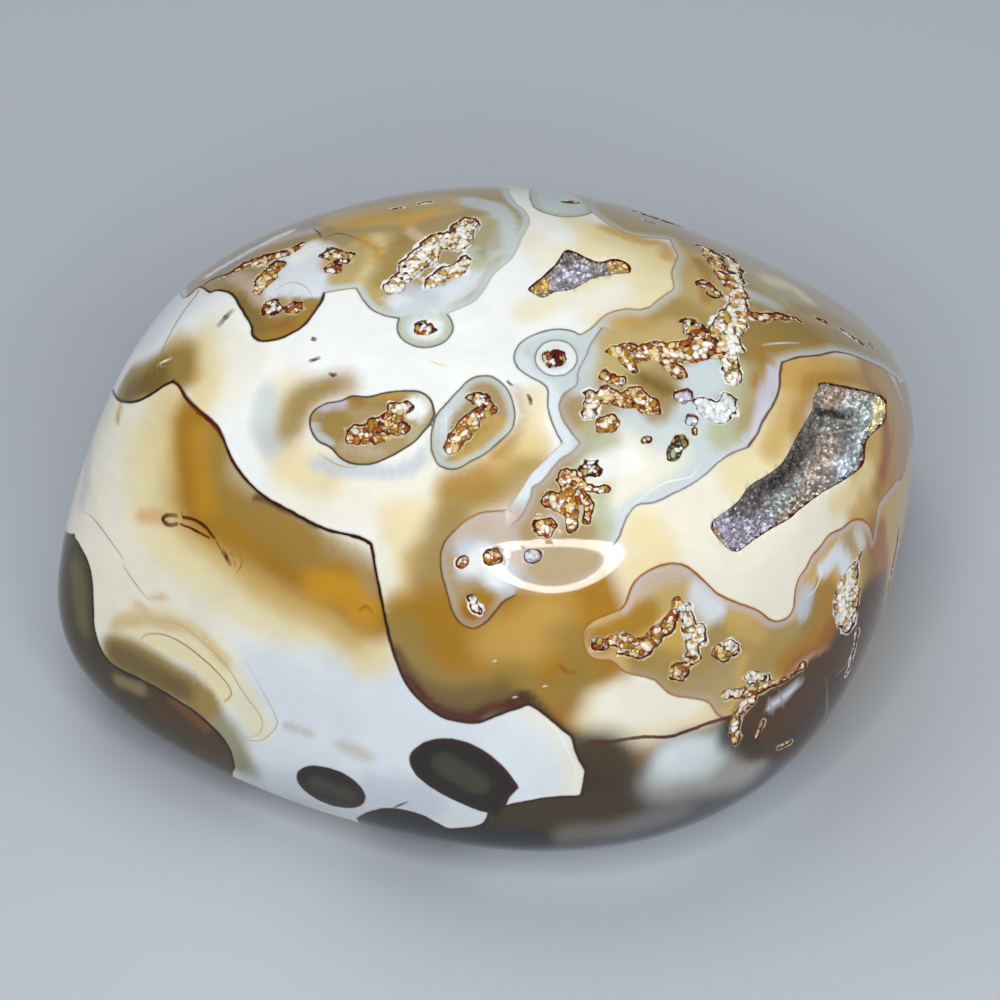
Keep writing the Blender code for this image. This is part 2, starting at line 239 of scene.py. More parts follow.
def on_skin(places):
    """Where the lines from the eye through places of the sheet first meet the skin, by Newton's steps."""
    offsets = (np.asarray(places, float) - SHEET_SIZE / 2) * SHEET_UNIT
    target = SHEET_HEART + offsets[..., :1] * EYE_RIGHT - offsets[..., 1:2] * EYE_UP
    sight = target - EYE
    point = EYE + SIGHT_START * sight
    for _ in range(SIGHT_STEPS):
        value, slope = gauge(point - HEART)
        step = (1 - value) / (slope * sight).sum(-1)
        point = point + step[..., None] * sight
    return point


def on_sheet(points):
    """The places on the sheet that the eye sees points at."""
    ray = points - EYE
    ray = ray * (-EYE_DISTANCE / (ray @ EYE_OUT))[..., None]
    places = np.stack((ray @ EYE_RIGHT, -(ray @ EYE_UP)), -1)
    return places / SHEET_UNIT + SHEET_SIZE / 2


# How closely a curve is laid out, in sheet units on the best side and in degrees on a hidden one, and
# an oval's points. Then the colours' names in order, how many points and how long a piece of a chain
# are worked on at once, and a length that counts as none
CHAIN_GAP = 4
HIDDEN_GAP = 2.0
OVAL_POINTS = 16
SHADES = tuple(PALETTE)
BLOCK = 20000
CHAIN_BLOCK = 16
TINY = 1e-9


def flowing(places, gap, closed=False):
    """A smooth curve through places, as a chain about gap apart.

    Between two places it is the cubic whose slope at each place is half the way from the place
    before to the place after.
    """
    places = np.asarray(places, float)
    if closed:
        places = np.concatenate((places[-1:], places, places[:2]))
    else:
        first, last = 2 * places[:1] - places[1:2], 2 * places[-1:] - places[-2:-1]
        places = np.concatenate((first, places, last))
    slope = (places[2:] - places[:-2]) / 2
    here, ahead = places[1:-2], places[2:-1]
    steps = max(2, math.ceil(np.linalg.norm(ahead - here, axis=-1).mean() / gap))
    share = (np.arange(steps) / steps)[:, None]
    near, far = here[:, None], ahead[:, None]
    rise, fall = slope[:-1, None], slope[1:, None]
    chain = (
        (2 * share ** 3 - 3 * share ** 2 + 1) * near
        + (share ** 3 - 2 * share ** 2 + share) * rise
        + (3 * share ** 2 - 2 * share ** 3) * far
        + (share ** 3 - share ** 2) * fall
    )
    return np.concatenate((chain.reshape(-1, places.shape[1]), ahead[-1:]))


def marked(points, ink, rim, line):
    """A stroke: its points, and beside each the ink, the share of the zone's rim and the line's colour
    as a number in the list of names."""
    return points, np.tile((ink, rim, SHADES.index(line)), (len(points), 1))


def seen(ink, *places, rim=1.0, line="line"):
    """A stroke on the best side, smooth between its ends."""
    return marked(on_skin(flowing(places, CHAIN_GAP)), ink, rim, line)


def hidden(ink, *turns, rim=1.0, line="line"):
    """A stroke on a hidden side through places given by azimuth and tilt."""
    return marked(skin_point(direction(*flowing(turns, HIDDEN_GAP).T)), ink, rim, line)


def loop(ink, *places, rim=1.0, line="line"):
    """An outline that is one closed smooth stroke on the best side."""
    return (marked(on_skin(flowing(places, CHAIN_GAP, closed=True)), ink, rim, line),)


def oval(ink, x, y, half_length, half_width, turn=0.0, line="line"):
    """A closed oval stroke on the best side, turned anticlockwise in degrees."""
    around = np.arange(OVAL_POINTS) * 2 * math.pi / OVAL_POINTS
    along, across = half_length * np.cos(around), half_width * np.sin(around)
    angle = -math.radians(turn)
    places = np.stack((
        x + along * math.cos(angle) - across * math.sin(angle),
        y + along * math.sin(angle) + across * math.cos(angle),
    ), -1)
    return loop(ink, *places, line=line)


def brush(colour, half_width, fade, strength, *places):
    """A soft brush stroke on the best side: full strength to its half width, then fading out."""
    points = on_skin(flowing(places, CHAIN_GAP) if len(places) > 1 else places * 2)
    return colour, half_width * SHEET_UNIT, fade * SHEET_UNIT, strength, points


def far_brush(colour, half_width, fade, strength, *turns):
    """A soft brush stroke on a hidden side."""
    turns = flowing(turns, HIDDEN_GAP) if len(turns) > 1 else np.array(turns * 2, float)
    return colour, half_width * SHEET_UNIT, fade * SHEET_UNIT, strength, skin_point(direction(*turns.T))


def zone(name, layer, colour, outline, strokes=(), rim="mist", rim_strength=0.0, within=False):
    """A part of the skin with an outline of its own, painted over the layers below it."""
    return {
        "name": name, "layer": layer, "colour": colour, "outline": outline, "strokes": strokes,
        "rim": rim, "rim_strength": rim_strength, "within": within,
    }


# Brush strokes on what no outline encloses, from first to last
GROUND_COLOUR = "milk"
GROUND = (
    # the corner at the top left
    brush("frost", 14, 24, 0.7, (150, 325), (180, 285)),
    brush("ivory", 16, 30, 0.7, (215, 330), (240, 360), (200, 400)),
    brush("straw", 4, 26, 0.8, (202, 345), (208, 380), (198, 404)),
    brush("honey", 4, 18, 0.8, (172, 346), (188, 352), (196, 372)),
    brush("olive", 14, 22, 1.0, (128, 386), (150, 376), (180, 366)),
    brush("bog", 6, 16, 0.5, (130, 390), (160, 374)),
    # round the left halo
    brush("straw", 6, 34, 0.7, (292, 395), (285, 440), (318, 470)),
    brush("taupe", 4, 22, 0.9, (280, 430), (292, 408), (312, 392), (345, 386)),
    brush("olive", 3, 16, 0.7, (296, 420), (306, 398), (330, 388)),
    brush("mist", 5, 14, 0.8, (270, 392), (264, 425), (272, 445)),
    brush("ivory", 16, 36, 0.8, (300, 490), (380, 495), (440, 480)),
    brush("straw", 6, 24, 0.7, (290, 465), (330, 480)),
    brush("steel", 4, 9, 0.8, (318, 462), (345, 472), (375, 474), (405, 466), (428, 448)),
    brush("ivory", 4, 14, 0.7, (432, 440), (436, 472)),
    # under the right halo
    brush("honey", 12, 30, 0.9, (456, 500), (495, 478), (520, 452)),
    brush("amber", 8, 24, 0.7, (454, 488), (480, 482)),
    brush("olive", 4, 24, 0.6, (446, 510), (500, 496), (528, 468)),
    brush("amber", 2, 10, 0.6, (510, 390), (518, 408), (514, 425), (500, 450)),
    brush("straw", 6, 18, 0.7, (532, 395), (530, 440)),
    # the pale strip right of the long line
    brush("straw", 10, 26, 0.8, (408, 520), (408, 560), (408, 600)),
    brush("ivory", 6, 12, 0.9, (386, 552), (388, 590)),
    brush("honey", 8, 20, 0.9, (402, 612), (425, 600), (426, 560)),
    brush("taupe", 12, 24, 0.9, (444, 530), (438, 575), (440, 600)),
    brush("olive", 6, 20, 0.7, (450, 520), (438, 560), (440, 610)),
    # the amber field
    brush("amber", 40, 34, 1.0, (450, 645), (500, 650), (550, 640), (565, 670)),
    brush("amber", 20, 20, 1.0, (415, 635), (430, 665), (480, 690), (540, 690), (570, 712)),
    brush("amber", 14, 18, 1.0, (520, 612), (560, 604), (595, 602), (630, 560), (640, 540)),
    brush("honey", 10, 34, 0.7, (500, 645), (530, 640), (545, 622)),
    brush("olive", 14, 28, 0.9, (402, 640), (412, 670), (440, 698), (480, 700), (515, 690)),
    brush("umber", 3, 26, 0.55, (412, 684), (450, 704), (500, 698)),
    brush("olive", 4, 24, 0.7, (565, 640), (580, 665), (570, 690)),
    brush("ember", 2, 16, 0.5, (566, 705), (574, 722)),
    brush("umber", 4, 12, 0.8, (396, 655), (406, 683), (420, 701), (440, 714), (460, 719), (478, 720),
          (500, 713), (527, 703)),
    brush("maroon", 3, 5, 0.9, (404, 680), (420, 698), (440, 712), (460, 718), (478, 719), (500, 712),
          (527, 702)),
    brush("umber", 5, 9, 0.9, (527, 700), (547, 713), (572, 735)),
    # the cream field round the long hollow
    brush("ivory", 60, 30, 1.0, (670, 510), (700, 560), (760, 560), (830, 520)),
    brush("straw", 8, 26, 0.8, (642, 532), (655, 552), (640, 568)),
    brush("straw", 14, 24, 0.8, (745, 470), (765, 430), (782, 390)),
    brush("cream", 16, 20, 0.9, (752, 478), (776, 462), (796, 440)),
    brush("honey", 6, 20, 0.8, (775, 445), (797, 400), (800, 375), (850, 366), (885, 385)),
    brush("honey", 14, 14, 0.9, (790, 374), (830, 366), (866, 374), (886, 392)),
    brush("honey", 30, 18, 1.0, (880, 410), (876, 460), (870, 505)),
    brush("amber", 3, 14, 0.7, (800, 432), (808, 400), (812, 380), (840, 374), (866, 378)),
    brush("amber", 44, 20, 1.0, (888, 394), (898, 430), (897, 470), (888, 520)),
    brush("gold", 26, 18, 0.6, (888, 396), (897, 430), (896, 470), (888, 516)),
    brush("rust", 5, 10, 0.7, (882, 400), (888, 436), (882, 470)),
    far_brush("amber", 40, 40, 1.0, (14, 6), (2, 4), (350, -2)),
    far_brush("umber", 20, 40, 0.9, (10, -8), (355, -12), (340, -16)),
    brush("straw", 6, 14, 0.9, (838, 505), (860, 488), (868, 470)),
    brush("honey", 3, 12, 0.7, (864, 496), (872, 506)),
    # the pale field round the small hollow
    brush("ivory", 34, 20, 1.0, (560, 240), (600, 280), (640, 280)),
    brush("cream", 22, 26, 0.9, (580, 235), (640, 250), (650, 285), (600, 300)),
    brush("straw", 6, 20, 0.8, (606, 236), (645, 248), (662, 262)),
    brush("honey", 3, 12, 0.9, (606, 228), (640, 240), (664, 244), (668, 256)),
    brush("milk", 6, 24, 0.6, (570, 312), (620, 292)),
    brush("milk", 8, 18, 0.9, (546, 222), (560, 236)),
    brush("cream", 4, 20, 0.7, (530, 310), (548, 306)),
    # below the crack at the lower right
    brush("straw", 12, 34, 1.0, (612, 712), (650, 712), (700, 700)),
    brush("ivory", 14, 26, 1.0, (616, 704), (650, 704), (684, 696)),
    # Painted shade: a dark grey band along the lower right of the bottom edge, where the skin turns under
    # towards the floor.
    brush("underside_shade", 60, 30, 1.0, (560, 838), (660, 816), (740, 778)),
    brush("bog", 24, 40, 1.0, (592, 768), (596, 800), (560, 812)),
    brush("peat", 8, 28, 0.8, (596, 782), (600, 806)),
    brush("bog", 6, 22, 0.9, (588, 752), (606, 756)),
    brush("ash", 22, 30, 1.0, (680, 768), (706, 766), (740, 762)),
    brush("mist", 10, 26, 0.9, (676, 760), (706, 758)),
    brush("frost", 4, 20, 0.5, (672, 756), (700, 754)),
    # Dark brown along the lower right edge: partly the stone's own colour, partly painted shade on the side
    # that faces down.
    brush("umber", 22, 16, 1.0, (748, 722), (768, 732), (790, 712), (800, 694)),
    brush("peat", 8, 14, 0.7, (730, 740), (752, 748), (776, 742)),
    brush("umber", 34, 20, 1.0, (800, 722), (826, 694), (848, 650)),
    brush("peat", 10, 18, 0.7, (790, 742), (812, 722), (836, 686)),
    brush("umber", 12, 8, 1.0, (770, 696), (790, 684), (824, 662)),
    brush("frost", 2, 5, 0.9, (772, 708), (786, 696), (798, 684)),
    brush("frost", 2, 4, 0.9, (716, 709), (728, 702)),
    # Painted shadow: dark grey and brown strokes along the bottom edge, where the stone meets the floor.
    brush("shadow_slate", 40, 22, 1.0, (320, 818), (380, 834), (440, 842), (500, 836)),
    brush("bog", 8, 24, 0.9, (500, 816), (560, 814), (620, 806)),
    brush("granite", 3, 22, 0.5, (570, 832), (620, 826), (680, 812)),
    far_brush("straw", 60, 60, 0.9, (60, 30), (100, 25), (130, 20)),
    far_brush("honey", 24, 60, 0.8, (55, -5), (75, 5), (110, 0)),
    far_brush("olive", 24, 60, 0.9, (20, -22), (60, -30), (110, -25)),
    far_brush("bog", 10, 60, 0.8, (30, -34), (70, -38), (100, -34)),
    far_brush("umber", 30, 50, 0.8, (330, -40), (300, -50), (30, -60)),
    far_brush("frost", 30, 40, 0.9, (135, 12), (152, 8)),
    far_brush("amber", 8, 30, 0.8, (66, 18), (80, 10), (92, 14)),
    far_brush("steel", 20, 40, 0.8, (160, -8), (170, -30)),
)

ZONES = (
    zone("crown_west", 1, "taupe", rim="mist", rim_strength=0.9, outline=(
        seen(0.5, (190, 295), (200, 287), (210, 293), rim=0),
        seen(0.8, (210, 293), (218, 290), (232, 294), (240, 306), (246, 316), (252, 327), (252, 334),
             (258, 340), (265, 341), (278, 339), (290, 334), (302, 327), (313, 314), (321, 302),
             (324, 293), rim=0, line="peat"),
        seen(0.35, (324, 293), (340, 290), (356, 288), line="olive"),
        seen(0.35, (356, 288), (362, 298), (370, 308), (380, 314), (390, 317), (400, 318), line="bog"),
        seen(0.2, (400, 318), (425, 322), (453, 311), line="olive"),
        seen(0.2, (453, 311), (465, 306), (477, 299), (486, 287), (493, 275), (503, 266), (512, 258),
             (518, 247), (522, 237), (528, 227), (529, 218), (524, 210), (516, 203), (510, 195),
             (508, 189), line="olive"),
        hidden(0.3, (81, 45), (95, 30), (120, 18), (145, 22), (160, 34), line="olive"),
    ), strokes=(
        brush("olive", 12, 12, 0.9, (236, 288), (250, 312), (262, 330), (290, 326), (312, 306)),
        brush("umber", 2, 14, 0.4, (244, 300), (256, 326), (285, 326)),
        brush("amber", 3, 9, 0.7, (262, 336), (290, 330), (312, 314)),
        brush("ember", 2, 8, 0.5, (270, 326), (284, 324)),
        brush("blush", 5, 10, 0.8, (236, 278), (250, 284), (262, 296)),
        brush("frost", 18, 9, 1.0, (292, 264), (312, 256), (316, 276)),
        brush("milk", 6, 10, 0.9, (296, 256), (312, 246)),
        brush("frost", 10, 7, 1.0, (276, 288), (298, 288), (322, 288)),
        brush("mist", 4, 8, 0.8, (334, 286), (352, 285)),
        brush("khaki", 12, 10, 1.0, (342, 258), (356, 252), (364, 268), (350, 276)),
        brush("khaki", 22, 14, 1.0, (372, 250), (390, 270), (378, 286)),
        brush("khaki", 22, 14, 1.0, (350, 216), (400, 210), (440, 204)),
        brush("ash", 14, 10, 0.9, (226, 268), (258, 246), (300, 230)),
        brush("blush", 4, 9, 0.8, (250, 252), (290, 236), (310, 232)),
        brush("milk", 3, 6, 0.9, (208, 276), (240, 256), (290, 232)),
        brush("straw", 3, 12, 0.7, (372, 240), (376, 262), (372, 280)),
        brush("gold", 2, 7, 0.8, (356, 238), (372, 250), (378, 262)),
        brush("honey", 8, 16, 0.8, (352, 222), (400, 214)),
        brush("olive", 6, 12, 0.7, (404, 236), (396, 256), (384, 280)),
        brush("flame", 3, 14, 0.6, (408, 222), (432, 214)),
        brush("rose", 3, 7, 0.7, (408, 230), (420, 236)),
        brush("frost", 9, 10, 1.0, (402, 302), (440, 294), (465, 282), (482, 256)),
        brush("steel", 5, 8, 0.8, (410, 288), (430, 296)),
        brush("sage", 6, 14, 0.9, (478, 262), (492, 240), (486, 222)),
        brush("moss", 1, 9, 0.6, (486, 252), (494, 236)),
        brush("mist", 8, 10, 0.9, (468, 200), (495, 210), (506, 226), (500, 246)),
        brush("taupe", 5, 9, 0.6, (490, 224), (492, 244)),
    )),
    zone("lone_halo", 1, "mist", oval(0.35, 425, 327, 28, 20.5, line="bog"),
         rim="sage", rim_strength=0.6, strokes=(
             brush("milk", 9, 7, 0.9, (425, 328)),
             brush("frost", 2, 8, 0.8, (432, 310), (444, 318)),
    )),
    zone("left_halo", 1, "taupe", loop(
        0.4, (313, 412), (325, 404), (340, 401), (352, 396), (368, 397), (390, 392), (415, 391),
        (427, 396), (433, 406), (433, 418), (425, 430), (414, 442), (400, 451), (385, 459), (370, 464),
        (355, 464), (341, 458), (330, 447), (318, 441), (311, 430), (310, 420), line="peat",
    ), rim="taupe", rim_strength=0.3, strokes=(
        brush("olive", 10, 12, 0.9, (332, 420), (350, 446)),
        brush("olive", 5, 8, 0.8, (360, 403), (400, 402)),
        brush("gold", 1, 4, 0.9, (356, 398), (380, 396), (402, 394)),
        brush("blush", 3, 8, 0.5, (345, 452), (375, 454)),
        brush("lilac", 3, 4, 1.0, (324, 407), (334, 405), (345, 406)),
        brush("steel", 3, 5, 1.0, (314, 424), (318, 434), (329, 443)),
        brush("milk", 6, 8, 1.0, (412, 412), (424, 402), (428, 415)),
        brush("sage", 4, 8, 0.8, (422, 430), (410, 440)),
        brush("rust", 1, 5, 0.9, (352, 398), (362, 403)),
    )),
    zone("right_halo", 1, "taupe", loop(
        0.35, (434, 422), (431, 438), (433, 455), (440, 466), (455, 469), (470, 462), (486, 453),
        (500, 441), (511, 430), (515, 416), (512, 400), (505, 386), (493, 377), (480, 376), (468, 381),
        (457, 392), (446, 404), (438, 413), line="bog",
    ), rim="mist", rim_strength=0.7, strokes=(
        brush("mist", 4, 7, 0.9, (462, 396), (445, 425), (442, 448)),
        brush("frost", 2, 5, 0.8, (452, 412), (443, 436)),
        brush("blush", 3, 5, 0.7, (500, 392), (508, 412), (503, 430)),
        brush("honey", 4, 9, 0.8, (492, 424), (476, 444), (462, 458)),
        brush("olive", 2, 7, 0.6, (486, 430), (470, 446)),
    )),
    zone("top_halo", 1, "mist", rim="sage", rim_strength=0.6, outline=(
        seen(0.3, (530, 198), (535, 208), (548, 214), (566, 217), (585, 215), (596, 209), line="bog"),
        hidden(0.3, (62, 38), (66, 35), (72, 36), (77, 42), line="bog"),
    ), strokes=(brush("taupe", 4, 9, 0.8, (588, 206), (594, 210)),)),
    zone("far_halo", 1, "mist", rim="sage", rim_strength=0.5, outline=(
        hidden(0.35, (96, 12), (102, 17), (110, 15), (113, 7), (107, 1), (99, 4), (96, 12), line="bog"),
    ), strokes=(far_brush("taupe", 8, 14, 0.8, (103, 9), (107, 8)),)),
    zone("right_field", 1, "mist", rim="frost", rim_strength=0.5, outline=(
        seen(0.3, (588, 208), (600, 218), (612, 226), (628, 234), (645, 237), (670, 239), rim=0,
             line="umber"),
        seen(0.35, (670, 239), (674, 248), (678, 256), (674, 265), (672, 275), (674, 288), (668, 293),
             (658, 300), (650, 307), rim=0, line="olive"),
        seen(0.4, (650, 307), (640, 310), (628, 309), (615, 311), (603, 317), (593, 327), (580, 335),
             rim=0, line="amber"),
        seen(0.35, (580, 335), (572, 331), (557, 329), (541, 332), (527, 338), (518, 346), (514, 358),
             (518, 368), (527, 375), (540, 382), (548, 390), (548, 408), (553, 425), (562, 443),
             line="fern"),
        seen(0.2, (562, 443), (548, 457), (532, 473), (520, 491), (507, 509), rim=0.5, line="olive"),
        seen(0.0, (507, 509), (498, 540), (515, 588), (560, 592), (600, 575), (612, 547), rim=0),
        seen(0.35, (612, 547), (618, 539), (622, 529), (627, 517), (634, 507), (640, 504), line="umber"),
        seen(0.35, (640, 504), (655, 502), (672, 494), (690, 485), (706, 474), (720, 461), (735, 452),
             (748, 447), line="peat"),
        seen(0.6, (748, 447), (757, 434), (763, 420), (773, 405), (779, 389), (780, 375), (782, 362),
             line="maroon"),
        seen(0.5, (782, 362), (800, 357), (820, 355), (834, 352), (848, 354), (862, 359), (880, 367),
             (898, 379), rim=0.2, line="maroon"),
        hidden(0.4, (12, 12), (25, 0), (45, 8), (60, 25), (63, 41), line="umber"),
    ), strokes=(
        brush("frost", 5, 6, 0.9, (522, 362), (538, 378), (553, 392), (553, 415), (568, 440), (548, 464),
              (525, 492)),
        brush("blush", 12, 12, 1.0, (512, 522), (530, 545), (600, 560)),
        brush("ash", 12, 14, 0.8, (505, 556), (540, 566), (600, 565)),
        brush("taupe", 3, 9, 0.8, (512, 586), (560, 590), (600, 578)),
    )),
    zone("inner_field", 2, "taupe", within=True, rim="lilac", rim_strength=0.3, outline=(
        seen(0.0, (590, 214), (580, 230), (565, 265), (566, 300), (585, 322), (603, 326), rim=0),
        seen(0.25, (603, 326), (592, 342), (585, 358), (578, 372), (576, 385), (564, 394), (559, 406),
             (562, 418), (570, 431), (580, 443), line="umber"),
        seen(0.2, (580, 443), (572, 452), (560, 459), (551, 469), (542, 481), (532, 487), line="umber"),
        seen(0.2, (532, 487), (529, 500), (520, 517), (508, 530), (500, 560), line="umber"),
        seen(0.0, (500, 560), (560, 600), (640, 590), (660, 520), (800, 460), (900, 400)),
        hidden(0.0, (14, 0), (30, -12), (50, -5), (65, 20), (70, 38)),
    ), strokes=(
        brush("khaki", 32, 20, 1.0, (610, 345), (650, 320), (700, 270)),
        brush("olive", 4, 20, 0.7, (640, 316), (672, 306), (700, 320)),
        brush("honey", 5, 12, 0.6, (616, 320), (640, 316)),
        brush("mist", 6, 12, 0.8, (588, 352), (582, 376), (584, 388)),
        brush("taupe", 6, 14, 0.8, (572, 408), (582, 436)),
        brush("mist", 34, 18, 1.0, (640, 455), (690, 440), (640, 480), (610, 500)),
        brush("mist", 14, 14, 1.0, (704, 380), (720, 372)),
        brush("mist", 12, 14, 1.0, (700, 410), (725, 432), (715, 445)),
        brush("ivory", 14, 24, 0.9, (640, 450), (660, 455), (620, 480)),
        brush("sage", 12, 16, 0.8, (592, 440), (605, 455), (585, 508), (596, 530)),
        brush("milk", 8, 14, 0.8, (600, 470), (630, 462)),
        brush("mist", 8, 14, 0.8, (640, 420), (660, 434)),
        brush("olive", 8, 12, 0.8, (640, 378), (668, 392), (655, 410)),
        brush("umber", 3, 8, 0.5, (645, 378), (668, 388)),
        brush("taupe", 10, 14, 1.0, (556, 540), (580, 530)),
        brush("blush", 4, 12, 0.7, (548, 530), (556, 518)),
        brush("sage", 12, 12, 0.9, (746, 372), (745, 410), (728, 440)),
        brush("taupe", 5, 9, 0.7, (756, 372), (756, 400), (742, 428)),
        brush("lilac", 4, 5, 1.0, (773, 372), (769, 396), (757, 420), (746, 438)),
        brush("olive", 8, 10, 0.8, (770, 336), (800, 330), (830, 334), (868, 350)),
        brush("olive", 12, 16, 0.9, (750, 350), (756, 332), (800, 326)),
        brush("sage", 14, 20, 0.5, (752, 268), (775, 290), (800, 300)),
        brush("straw", 5, 16, 0.9, (768, 280), (790, 286), (806, 298)),
        brush("mist", 4, 12, 0.7, (750, 292), (772, 302)),
        brush("olive", 5, 14, 0.8, (800, 308), (840, 322), (880, 352)),
        brush("taupe", 8, 12, 0.8, (610, 222), (670, 230), (700, 246)),
        brush("honey", 4, 10, 0.8, (620, 232), (650, 240), (676, 246), (686, 262)),
        brush("amber", 3, 9, 0.7, (700, 262), (706, 280), (704, 300)),
        brush("amber", 1.5, 4, 0.9, (764, 350), (790, 348), (820, 340)),
        brush("amber", 2, 6, 0.8, (762, 352), (763, 366), (757, 384)),
        far_brush("khaki", 40, 40, 0.9, (50, 25), (35, 10), (25, 5)),
        far_brush("mist", 16, 26, 0.9, (52, 24), (46, 10), (36, 2)),
        far_brush("olive", 10, 26, 0.8, (26, 18), (30, 4)),
        far_brush("amber", 2, 16, 0.7, (20, 12), (26, 2), (40, 6), (52, 16)),
    )),
    zone("second_halo", 2, "mist", oval(0.3, 556, 358, 21, 18, line="fern"), rim="milk",
         rim_strength=0.8, strokes=(
             brush("milk", 8, 6, 0.9, (562, 357)),
             brush("olive", 3, 10, 0.9, (532, 357), (545, 355)),
    )),
    zone("ember_field", 3, "honey", rim="lilac", rim_strength=0.5, outline=(
        seen(0.5, (620, 610), (626, 602), (631, 588), (638, 578), (650, 570), (663, 565), (680, 564),
             (693, 571), (705, 582), (718, 594), (735, 602), (757, 610), (770, 620), (780, 621),
             (789, 616), (794, 606), (795, 592), (799, 578), (806, 568), (812, 556), (820, 547),
             (829, 535), (841, 529), (850, 522), (858, 519), (866, 522), (871, 530), (873, 540),
             line="ember"),
        seen(0.35, (873, 540), (876, 520), (878, 506), (885, 495), (897, 480), line="ember"),
        hidden(0.3, (356, 12), (368, 5), (372, -15), (355, -30), (335, -30), rim=0),
        hidden(0.0, (335, -30), (326, -12), rim=0),
        seen(0.0, (826, 655), (803, 668), (785, 685), (757, 692), (733, 716), rim=0),
        seen(0.35, (733, 716), (722, 717), (715, 712), (708, 702), (690, 698), (675, 696), (665, 690),
             (655, 680), rim=0.3, line="ember"),
        seen(0.35, (655, 680), (640, 676), (625, 672), (612, 661), (598, 660), (588, 654), (583, 641),
             (585, 629), (593, 621), (606, 615), (620, 610), rim=0.3, line="ember"),
    ), strokes=(
        brush("khaki", 12, 16, 0.9, (650, 590), (690, 590), (720, 618)),
        brush("blush", 2, 10, 0.7, (640, 592), (660, 576), (684, 576)),
        brush("khaki", 8, 14, 0.9, (735, 616), (760, 628), (790, 626)),
        brush("frost", 8, 14, 0.9, (698, 596), (712, 612)),
        brush("amber", 8, 12, 0.9, (598, 642), (625, 626), (648, 612)),
        brush("olive", 16, 16, 0.8, (650, 670), (690, 672), (725, 640)),
        brush("olive", 14, 16, 0.7, (760, 640), (790, 640), (760, 664)),
        brush("honey", 8, 14, 0.7, (738, 622), (760, 632)),
        brush("taupe", 12, 16, 0.8, (690, 690), (716, 694), (715, 676)),
        brush("amber", 14, 18, 1.0, (822, 600), (816, 645), (795, 660)),
        brush("ember", 8, 14, 1.0, (830, 630), (820, 656), (800, 664)),
        brush("olive", 5, 14, 0.8, (868, 560), (868, 600), (862, 630)),
        far_brush("umber", 30, 40, 0.9, (330, -22), (350, -26)),
        far_brush("taupe", 10, 26, 0.8, (362, 4), (360, -8)),
        far_brush("ember", 4, 20, 0.8, (368, 0), (366, -12)),
        brush("frost", 6, 9, 1.0, (824, 568), (842, 550), (848, 566)),
        brush("taupe", 5, 9, 0.8, (850, 540), (864, 545)),
        brush("pearl", 3, 6, 1.0, (858, 534), (862, 548)),
        brush("olive", 6, 9, 0.7, (812, 598), (806, 625)),
        brush("steel", 4, 7, 0.8, (805, 588), (802, 612)),
        brush("ember", 16, 16, 0.9, (878, 540), (880, 580), (872, 610)),
        # Dark brown along the lower right edge: partly the stone's own colour, partly painted shade on the
        # side that faces down.
        brush("umber", 44, 22, 1.0, (866, 630), (852, 652), (838, 680), (812, 722)),
        brush("peat", 10, 22, 0.7, (842, 680), (816, 718)),
    )),
    zone("lens", 3, "taupe", rim="lilac", rim_strength=0.2, outline=(
        seen(0.35, (507, 510), (495, 511), (480, 513), (468, 519), (455, 530), line="ember"),
        seen(0.35, (455, 530), (446, 540), (441, 553), (441, 570), (445, 585), (449, 600), (454, 614),
             (463, 625), (475, 628), (486, 622), (494, 613), (503, 602), (515, 595), line="umber"),
        seen(0.0, (515, 595), (530, 560), (520, 530), (507, 510)),
    ), strokes=(
        brush("blush", 12, 14, 0.8, (470, 540), (490, 530)),
        brush("blush", 12, 12, 1.0, (512, 522), (520, 545), (512, 575)),
        brush("steel", 10, 16, 1.0, (466, 562), (486, 562), (500, 575)),
        brush("milk", 6, 12, 0.8, (472, 566), (486, 560), (494, 576)),
        brush("taupe", 3, 9, 0.9, (448, 560), (450, 590), (456, 606)),
        brush("amber", 8, 12, 0.95, (470, 612), (486, 604)),
        brush("ember", 3, 8, 0.6, (466, 612), (484, 612)),
    )),
    zone("front_face", 4, "ivory", outline=(
        seen(0.85, (113, 391), (117, 398), (125, 402), (137, 401), (150, 395), (162, 387), (173, 381)),
        seen(1.0, (173, 381), (179, 386), (186, 398), (196, 408), (207, 417), (217, 427), (223, 438),
             line="maroon"),
        seen(0.95, (223, 438), (231, 458), (239, 471), (250, 484), (268, 499), (290, 511), (308, 521),
             (325, 529), (345, 534), (360, 538), (371, 544)),
        seen(0.95, (371, 544), (374, 560), (378, 582), (384, 612), (390, 640), (396, 660), (405, 681),
             (420, 700), (440, 715), (460, 721), (478, 722), (500, 714), (528, 704)),
        seen(0.9, (528, 704), (536, 708), (547, 716), (560, 727), (570, 735), (574, 742)),
        seen(0.9, (574, 742), (577, 754), (586, 771)),
        seen(0.9, (586, 771), (584, 783), (581, 796)),
        seen(0.8, (581, 796), (548, 798), (530, 801), (515, 804), (503, 807)),
        seen(0.9, (503, 807), (489, 813)),
        seen(0.8, (489, 813), (487, 819), (481, 825), (468, 828), (450, 829), (440, 825), (425, 817),
             (410, 812), (393, 809), (375, 811), (358, 818)),
        hidden(0.8, (249, -23), (245, -40), (225, -62), (190, -60), (168, -40), (160, -15), (163, 5),
               (172, 20)),
    ), strokes=(
        # Painted shade: the frost and steel strokes make the front face cooler and greyer towards the
        # bottom.
        brush("frost", 60, 44, 1.0, (300, 720), (400, 740), (480, 770)),
        brush("frost", 30, 34, 1.0, (280, 650), (330, 670)),
        brush("milk", 12, 30, 0.6, (250, 620), (300, 640)),
        brush("steel", 16, 26, 0.8, (260, 780), (330, 800), (420, 800)),
        brush("lilac", 4, 16, 0.6, (92, 440), (82, 500)),
        brush("cream", 20, 36, 0.9, (150, 450), (160, 520), (220, 575), (290, 615)),
        brush("straw", 12, 34, 0.9, (172, 400), (168, 470), (190, 530), (250, 570), (310, 612),
